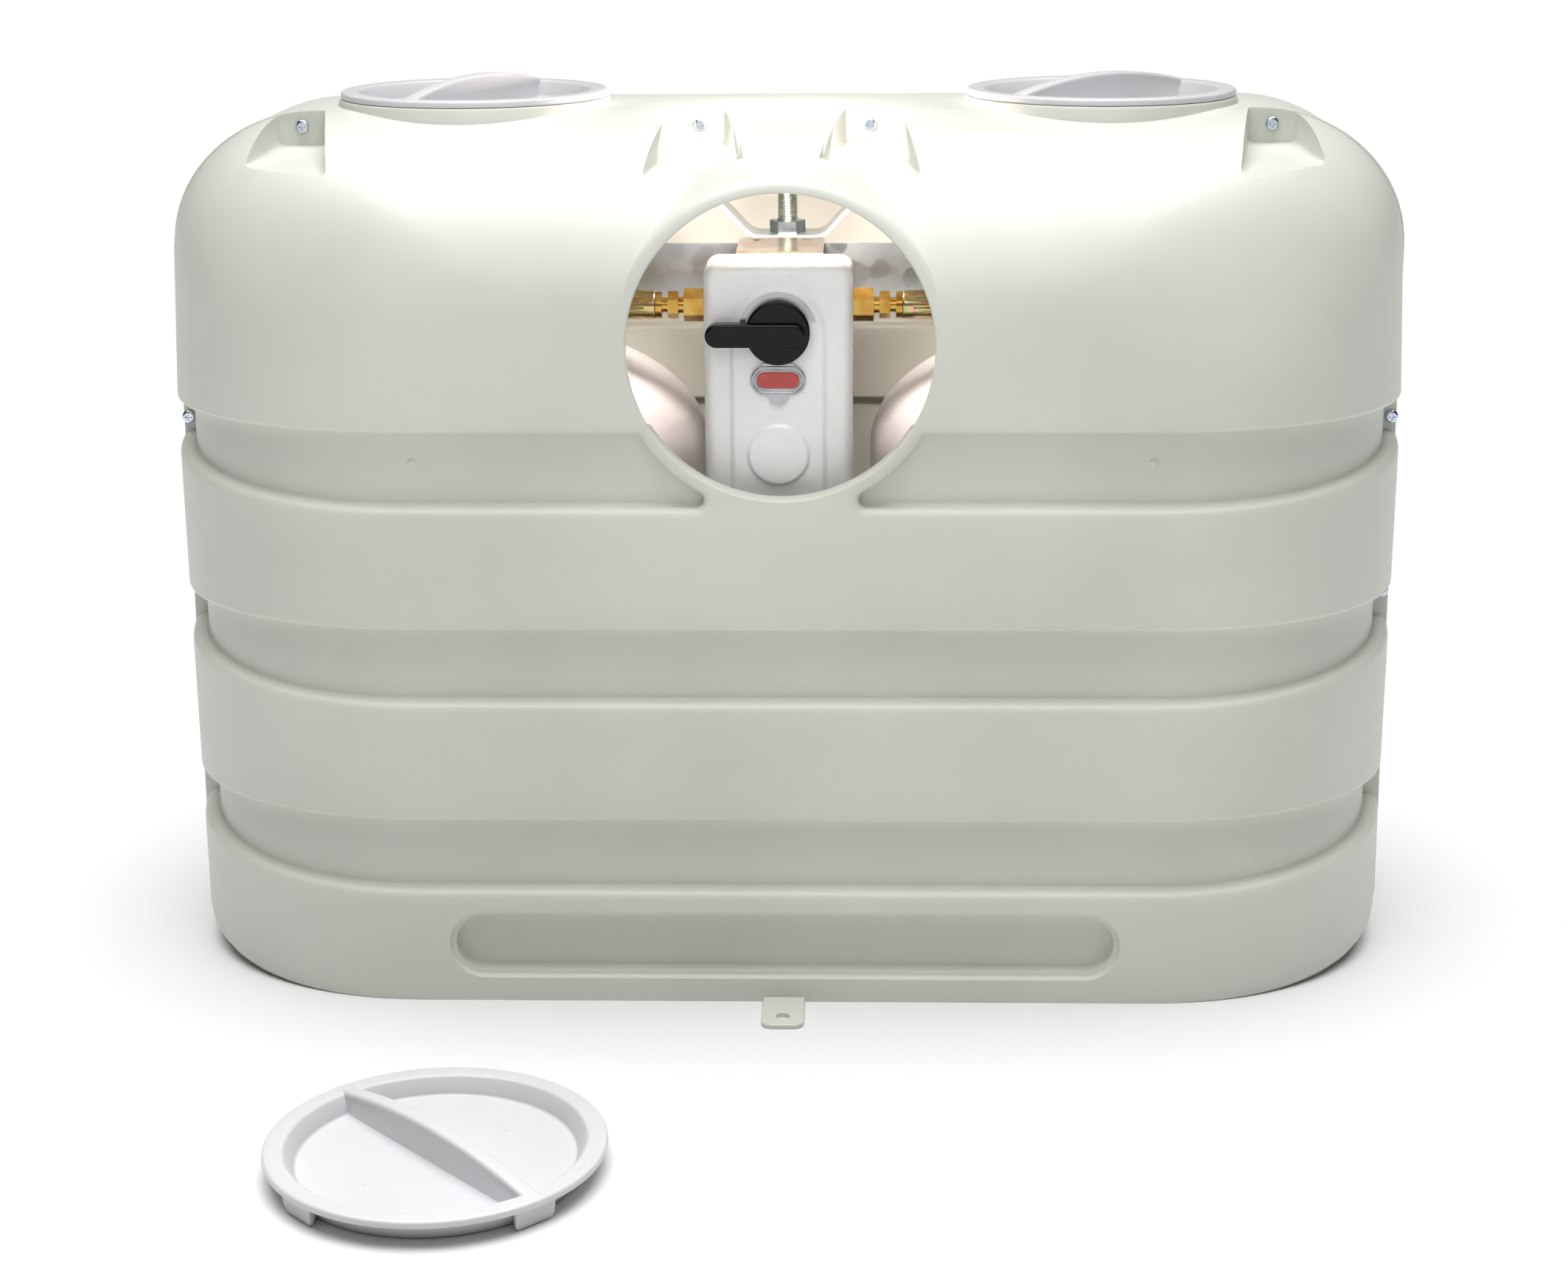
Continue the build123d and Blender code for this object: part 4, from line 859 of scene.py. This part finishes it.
# ---- regulator and hold-down ------------------------------------------------------------
def arch_loop(half, low_z, top_z, grow, middle):
    """Outline of the housing's raised panel, grown outwards."""
    loop = [(middle + (half + grow) * cos(pi * k / 40), top_z - half + (half + grow) * sin(pi * k / 40))
            for k in range(41)]
    corner = 6.0
    for side, start_turn in ((-1, 180), (1, 270)):
        for k in range(7):
            turn = radians(start_turn + 90 * k / 6)
            loop.append((middle + side * (half - corner) + (corner + grow) * cos(turn),
                         low_z + corner + (corner + grow) * sin(turn)))
    return loop


def swell(steps=8):
    """Soft step as (outwards share, height share), hollow at the foot and round at the top."""
    return [(1 - 2 * k / steps, (1 - cos(pi * k / steps)) / 2) for k in range(steps + 1)]


AXIS_Y = -122.0                # the gas lines' inlets and the outlet under the housing
KNOB_DROP, INDICATOR_DROP, BUMP_DROP, INLET_DROP = 38.0, 66.2, 110.3, 26.6     # below the housing's top
PANEL_HALF, BUMP_R, STEP, BEZEL_THICK = 29.0, 19.2, 2.0, 1.2


class TANKSET_OT_housing(bpy.types.Operator):
    """White housing of the regulator with its raised panel and round bump"""
    bl_idname = "tankset.housing"
    bl_label = "Regulator housing"

    def execute(self, context):
        (x0, bump_y, z0), (x1, back, z1) = housing_low, housing_high
        middle, panel_y, front = (x0 + x1) / 2, bump_y + STEP, bump_y + 2 * STEP
        width, height, corner, soft = x1 - x0, z1 - z0, 8.0, 7.0
        at = (middle, (z0 + z1) / 2)
        loops = [upright(rounded_loop(width, height, corner, 0), at[0], back, at[1])]
        loops += [upright(rounded_loop(width, height, corner, -drop), at[0], front + soft - run, at[1])
                  for run, drop in quarter(soft, 8)]
        body = loft("regulator_cover", loops)
        inner = loft("inner", [upright(rounded_loop(width - 5, height - 5, corner, 0), at[0], y, at[1])
                               for y in (front + 2.5, back + 5)])
        body = combine(body, [inner], "DIFFERENCE")
        arch = (PANEL_HALF, z0 + 8.0, z1 - 11.5)
        panel = [upright(arch_loop(*arch, 0.0, middle), 0, front + 1.0, 0)]
        panel += [upright(arch_loop(*arch, 2.2 * out - 2.2, middle), 0, front + 0.05 - STEP * up, 0)
                  for out, up in swell()]
        bump_z = z1 - BUMP_DROP
        bump = [upright(round_loop(BUMP_R, 72), middle, panel_y + 1.0, bump_z)]
        bump += [upright(round_loop(BUMP_R - 1.6 + 1.6 * out, 72), middle, panel_y + 0.1 - STEP * up, bump_z)
                 for out, up in swell()]
        body = combine(body, [loft("panel", panel), loft("bump", bump)], "UNION")
        cuts = [loft("axle_hole", [upright(round_loop(4.1, 32), middle, y, z1 - KNOB_DROP)
                                   for y in (panel_y - 3, back)]),
                loft("outlet_hole", [level(round_loop(12.4, 48), middle, AXIS_Y, z) for z in (z0 - 2, z0 + 5)]),
                loft("inlet_holes", [[(x, AXIS_Y + u, z1 - INLET_DROP + v) for u, v in round_loop(6.6, 32)]
                                     for x in (x0 - 2, x1 + 2)])]
        body = combine(body, cuts, "DIFFERENCE")
        finish_piece(body, "base", "housing_plastic", glossy_abs("gloss_white_abs", "F7F7F6", 0.2),
                     "regulator_housing")
        foil = plated_metal("hot_stamped_foil", *CARRIED["silver_trim"][1:])
        for name, length, tall, wide in (("outer", 31.6, 16.8, 1.5), ("inner", 27.4, 12.5, 1.2)):
            profile = ((0.0, 0.2), (-0.1, -0.1), (-0.3 * wide, -0.3), (-0.7 * wide, -0.3), (0.1 - wide, -0.1),
                       (-wide, 0.2))
            loops = [upright(slot_loop(length, tall, grow), middle, panel_y - BEZEL_THICK + d,
                             z1 - INDICATOR_DROP)
                     for grow, d in profile]
            ridge = loft("bezel_" + name + "_ridge", loops, 50.0, False)
            finish_piece(ridge, "base", "silver_trim", foil)
        return {"FINISHED"}


class TANKSET_OT_rod(bpy.types.Operator):
    """Hold-down rod with its rolled thread"""
    bl_idname = "tankset.rod"
    bl_label = "Threaded rod"

    def execute(self, context):
        low, high = low_high("hold_down_rod")
        radius, pitch, deep, count = (high[0] - low[0]) / 2, 1.6, 0.75, 32
        thread = 110.0
        thread_from = high[2] - thread
        loops = [level(round_loop(radius * 0.95, count), 0, 0, low[2]),
                 level(round_loop(radius * 0.95, count), 0, 0, thread_from - 1.0)]
        steps = int(thread / pitch * 6)
        for k in range(steps + 1):
            z = thread_from + (thread - 1.2) * k / steps
            loop = []
            for j in range(count):
                phase = (z / pitch - j / count) % 1.0
                reach = radius - deep * min(1.0, abs(2 * phase - 1) * 1.25)
                loop.append((reach * cos(2 * pi * j / count), reach * sin(2 * pi * j / count), z))
            loops.append(loop)
        loops.append(level(round_loop(radius - 1.4, count), 0, 0, high[2]))
        finish_piece(loft("threaded_rod", loops, 50.0), "base", "rod_zinc",
                     plated_metal("rolled_zinc_thread", ("9AA398", "B4BDB2"), 0.28), "hold_down_rod")
        return {"FINISHED"}


class TANKSET_OT_stage(bpy.types.Operator):
    """Lights, camera and a white backdrop"""
    bl_idname = "tankset.stage"
    bl_label = "Stage"

    def execute(self, context):
        settings = context.scene.tankset_stage
        build_camera(settings.lens)
        sky = bpy.data.lights.new("overhead", "SUN")
        sky.energy = settings.top
        sky.angle = radians(60)
        overhead = bpy.data.objects.new("overhead", sky)
        overhead.rotation_euler = (radians(-4), 0, 0)
        context.scene.collection.objects.link(overhead)
        build_light("front", (0.3, -3.2, 1.7), (0, 0, 0.25), 2.4, settings.side)
        build_light("brow", (0, -0.5, 0.85), (0, -0.1, 0.46), 0.6, settings.brow)
        build_light("inside", (0, -0.09, 0.507), (0, 0.12, 0.33), 0.06, settings.inside, "FFEFE6")
        world = bpy.data.worlds.new("even_light")
        world.use_nodes = True
        tree = world.node_tree
        tree.nodes.clear()
        # a white backdrop that itself gives only a little light
        rays = add(tree, "ShaderNodeLightPath")
        glow = add(tree, "ShaderNodeMapRange", {"To Min": settings.fill, "To Max": 1.0},
                   {"Value": (rays, "Is Camera Ray")})
        white = add(tree, "ShaderNodeBackground", {"Color": colour("FFFFFF")}, {"Strength": (glow, "Result")})
        add(tree, "ShaderNodeOutputWorld", links={"Surface": (white, "Background")})
        context.scene.world = world
        context.scene.view_settings.view_transform = "Standard"
        return {"FINISHED"}


CAMERA_PLACE = (46.9, -1731.0, 682.5)
CAMERA_TURN = (1.68, 16.3, -0.355)      # to the left, down and clockwise, in degrees


def build_camera(lens):
    """Camera in front of the set, a little to the right and looking down."""
    place = Vector(CAMERA_PLACE) * MM
    yaw, pitch, roll = (radians(turn) for turn in CAMERA_TURN)
    turn = Matrix.Rotation(yaw, 3, "Z")
    forward = turn @ Vector((0, cos(pitch), -sin(pitch)))
    up = turn @ Vector((0, sin(pitch), cos(pitch)))
    right = turn @ Vector((1, 0, 0))
    tilted = cos(roll) * right + sin(roll) * up
    upward = cos(roll) * up - sin(roll) * right
    data = bpy.data.cameras.new("camera")
    data.lens = lens
    data.sensor_width = 36.0
    data.clip_end = 60.0
    camera = bpy.data.objects.new("camera", data)
    axes = Matrix((tilted, upward, -forward)).transposed().to_4x4()
    camera.matrix_world = Matrix.Translation(place) @ axes
    bpy.context.scene.collection.objects.link(camera)
    bpy.context.scene.camera = camera


def build_light(name, place, target, size, power, tint="FFFFFF"):
    """Square soft light aimed at a point."""
    data = bpy.data.lights.new(name, "AREA")
    data.size = size
    data.energy = power
    data.color = colour(tint)[:3]
    light = bpy.data.objects.new(name, data)
    light.location = place
    aim = Vector(target) - Vector(place)
    light.rotation_mode = "QUATERNION"
    light.rotation_quaternion = aim.to_track_quat("-Z", "Y")
    bpy.context.scene.collection.objects.link(light)


class TANKSET_OT_floor(bpy.types.Operator):
    """Pale floor under the set"""
    bl_idname = "tankset.floor"
    bl_label = "Floor"

    def execute(self, context):
        reach = 14000.0
        corners = [(sx * reach, sy * reach, 0) for sx, sy in ((-1, -1), (1, -1), (1, 1), (-1, 1))]
        floor_piece = new_object("floor", corners, [(0, 1, 2, 3)])
        floor_piece.data.materials.append(white_floor())
        return {"FINISHED"}


def white_floor():
    """Seamless white paper, matt."""
    material, tree, where = start("matt_paper")
    if tree is None:
        return material
    fibre = add(tree, "ShaderNodeTexNoise", {"Scale": per_metre(400)}, {"Vector": (where, "Object")})
    ramp = add(tree, "ShaderNodeValToRGB", links={"Fac": (fibre, "Fac")})
    ramp.color_ramp.elements[0].color = colour("E4E4E4")
    ramp.color_ramp.elements[1].color = colour("E6E6E6")
    shader = add(tree, "ShaderNodeBsdfPrincipled", {"Roughness": 0.9},
                 {"Base Color": (ramp, "Color")})
    close(tree, shader)
    return material


HOSE_ROUTE = [(130, -122, 414.4), (165, -124.5, 410), (200, -130.5, 402), (232, -135, 395.5), (259, -136.8, 391),
              (284, -135, 388.5), (305.3, -127.8, 388.7), (321.7, -114.8, 391.2), (332.2, -97, 396),
              (335.5, -76.5, 401.8), (331.2, -56.3, 407.3), (319.9, -39.2, 411.3), (303.5, -26.6, 413.0),
              (283.2, -21.2, 413.0)]
HOSE_START = {"left": (-103.5, -122, 414.4), "right": (99.5, -122, 414.4)}
HOSE_RADIUS = 4.6


class TANKSET_OT_hoses(bpy.types.Operator):
    """The two rubber gas lines"""
    bl_idname = "tankset.hoses"
    bl_label = "Gas lines"

    def execute(self, context):
        rubber = hose_rubber()
        for name, side in SIDES:
            points = [HOSE_START[name]] + [(side * x, y, z) for x, y, z in HOSE_ROUTE]
            data = bpy.data.curves.new(name + "_gas_line", "CURVE")
            data.dimensions = "3D"
            data.bevel_depth = HOSE_RADIUS * MM
            data.bevel_resolution = 8
            data.resolution_u = 10
            data.use_fill_caps = True
            spline = data.splines.new("NURBS")
            spline.points.add(len(points) - 1)
            for point, (x, y, z) in zip(spline.points, points):
                point.co = (x * MM, y * MM, z * MM, 1.0)
            spline.order_u = 3
            spline.use_endpoint_u = True
            piece = bpy.data.objects.new(name + "_gas_line", data)
            context.scene.collection.objects.link(piece)
            finish_piece(piece, "base", "hose_rubber", rubber, name + "_hose")
        return {"FINISHED"}


CARRIED = {
    "zinc_screw": ("bright_zinc_plate", ("B4C2D4", "DDE3EA")),
    "plated_clip": ("clear_zinc_plate", ("BFAE9F", "D9CCC0")),
    "nut_zinc": ("dull_zinc_plate", ("939EA6", "ABB7BD")),
    "rod_zinc": ("rolled_zinc_plate", ("8B958C", "A9B3A8")),
    "brass": ("turned_brass", ("B98A3A", "D8B062")),
    "yellow_zinc": ("yellow_zinc_plate", ("C99C96", "D9C07C", "AEB48C"), 0.18, 5.0),
    "silver_trim": ("hot_stamped_foil", ("A6A8AB", "B9BBBE")),
    "die_cast": ("die_cast_zinc", ("A2A4A6", "B5B7B8")),
}


class TANKSET_OT_metal(bpy.types.Operator):
    """Finishes of the pieces that keep their own shape"""
    bl_idname = "tankset.finishes"
    bl_label = "Finishes"

    def execute(self, context):
        made = {slot: plated_metal(*values) for slot, values in CARRIED.items()}
        made["galvanised"] = galvanised_steel("galvanised_steel")
        made["rack_paint"] = enamel("black_powder_coat", "232426", "17181A", 0.45)
        made["tank_paint"] = enamel("pale_grey_enamel", "CBC9CC", "C7C5C8", 0.3)
        made["wheel_plastic"] = enamel("dark_wheel_enamel", "2A2B2D", "1E1F21", 0.4)
        made["connector_plastic"] = glossy_abs("black_nylon", "1B1B1D", 0.35)
        made["housing_plastic"] = glossy_abs("gloss_white_abs", "F7F7F6", 0.2)
        made["lever_plastic"] = glossy_abs("black_abs", "0A0A0B", 0.16, 0.02, 0.22)
        made["indicator_red"] = red_lens()
        made["hose_rubber"] = hose_rubber()
        scene = context.scene
        made["cover_plastic"] = moulded_polyethylene("thermoformed_polyethylene", scene.tankset_cover, 0.42)
        made["cap_plastic"] = moulded_polyethylene("injected_polyethylene", scene.tankset_cap, 0.38)
        for part in frame["record"]["subparts"]:
            node = NODES[part["node"]]
            if node.hide_render:
                continue
            node.data.materials.clear()
            node.data.materials.append(made[part["material_slot"]])
        return {"FINISHED"}


class TANKSET_PT_panel(bpy.types.Panel):
    """The set's pieces, in the order they are made"""
    bl_idname = "TANKSET_PT_panel"
    bl_label = "Tank Set"
    bl_space_type = "VIEW_3D"
    bl_region_type = "UI"
    bl_category = "Tank Set"

    def draw(self, context):
        for kind in OPERATORS:
            self.layout.operator(kind.bl_idname)


OPERATORS = (TANKSET_OT_stage, TANKSET_OT_floor, TANKSET_OT_hoses, TANKSET_OT_cover, TANKSET_OT_caps,
             TANKSET_OT_housing, TANKSET_OT_rod, TANKSET_OT_metal)
SETTINGS = {"tankset_cover": CoverSettings, "tankset_cap": CapSettings, "tankset_stage": StageSettings}


def register():
    for kind in (*SETTINGS.values(), *OPERATORS, TANKSET_PT_panel):
        bpy.utils.register_class(kind)
    for name, kind in SETTINGS.items():
        setattr(bpy.types.Scene, name, PointerProperty(type=kind))


def unregister():
    for name in SETTINGS:
        delattr(bpy.types.Scene, name)
    for kind in reversed((*SETTINGS.values(), *OPERATORS, TANKSET_PT_panel)):
        bpy.utils.unregister_class(kind)


def main():
    """Builds the whole set."""
    register()
    for kind in OPERATORS:
        group, action = kind.bl_idname.split(".")
        getattr(getattr(bpy.ops, group), action)()


if __name__ == "__main__":
    main()
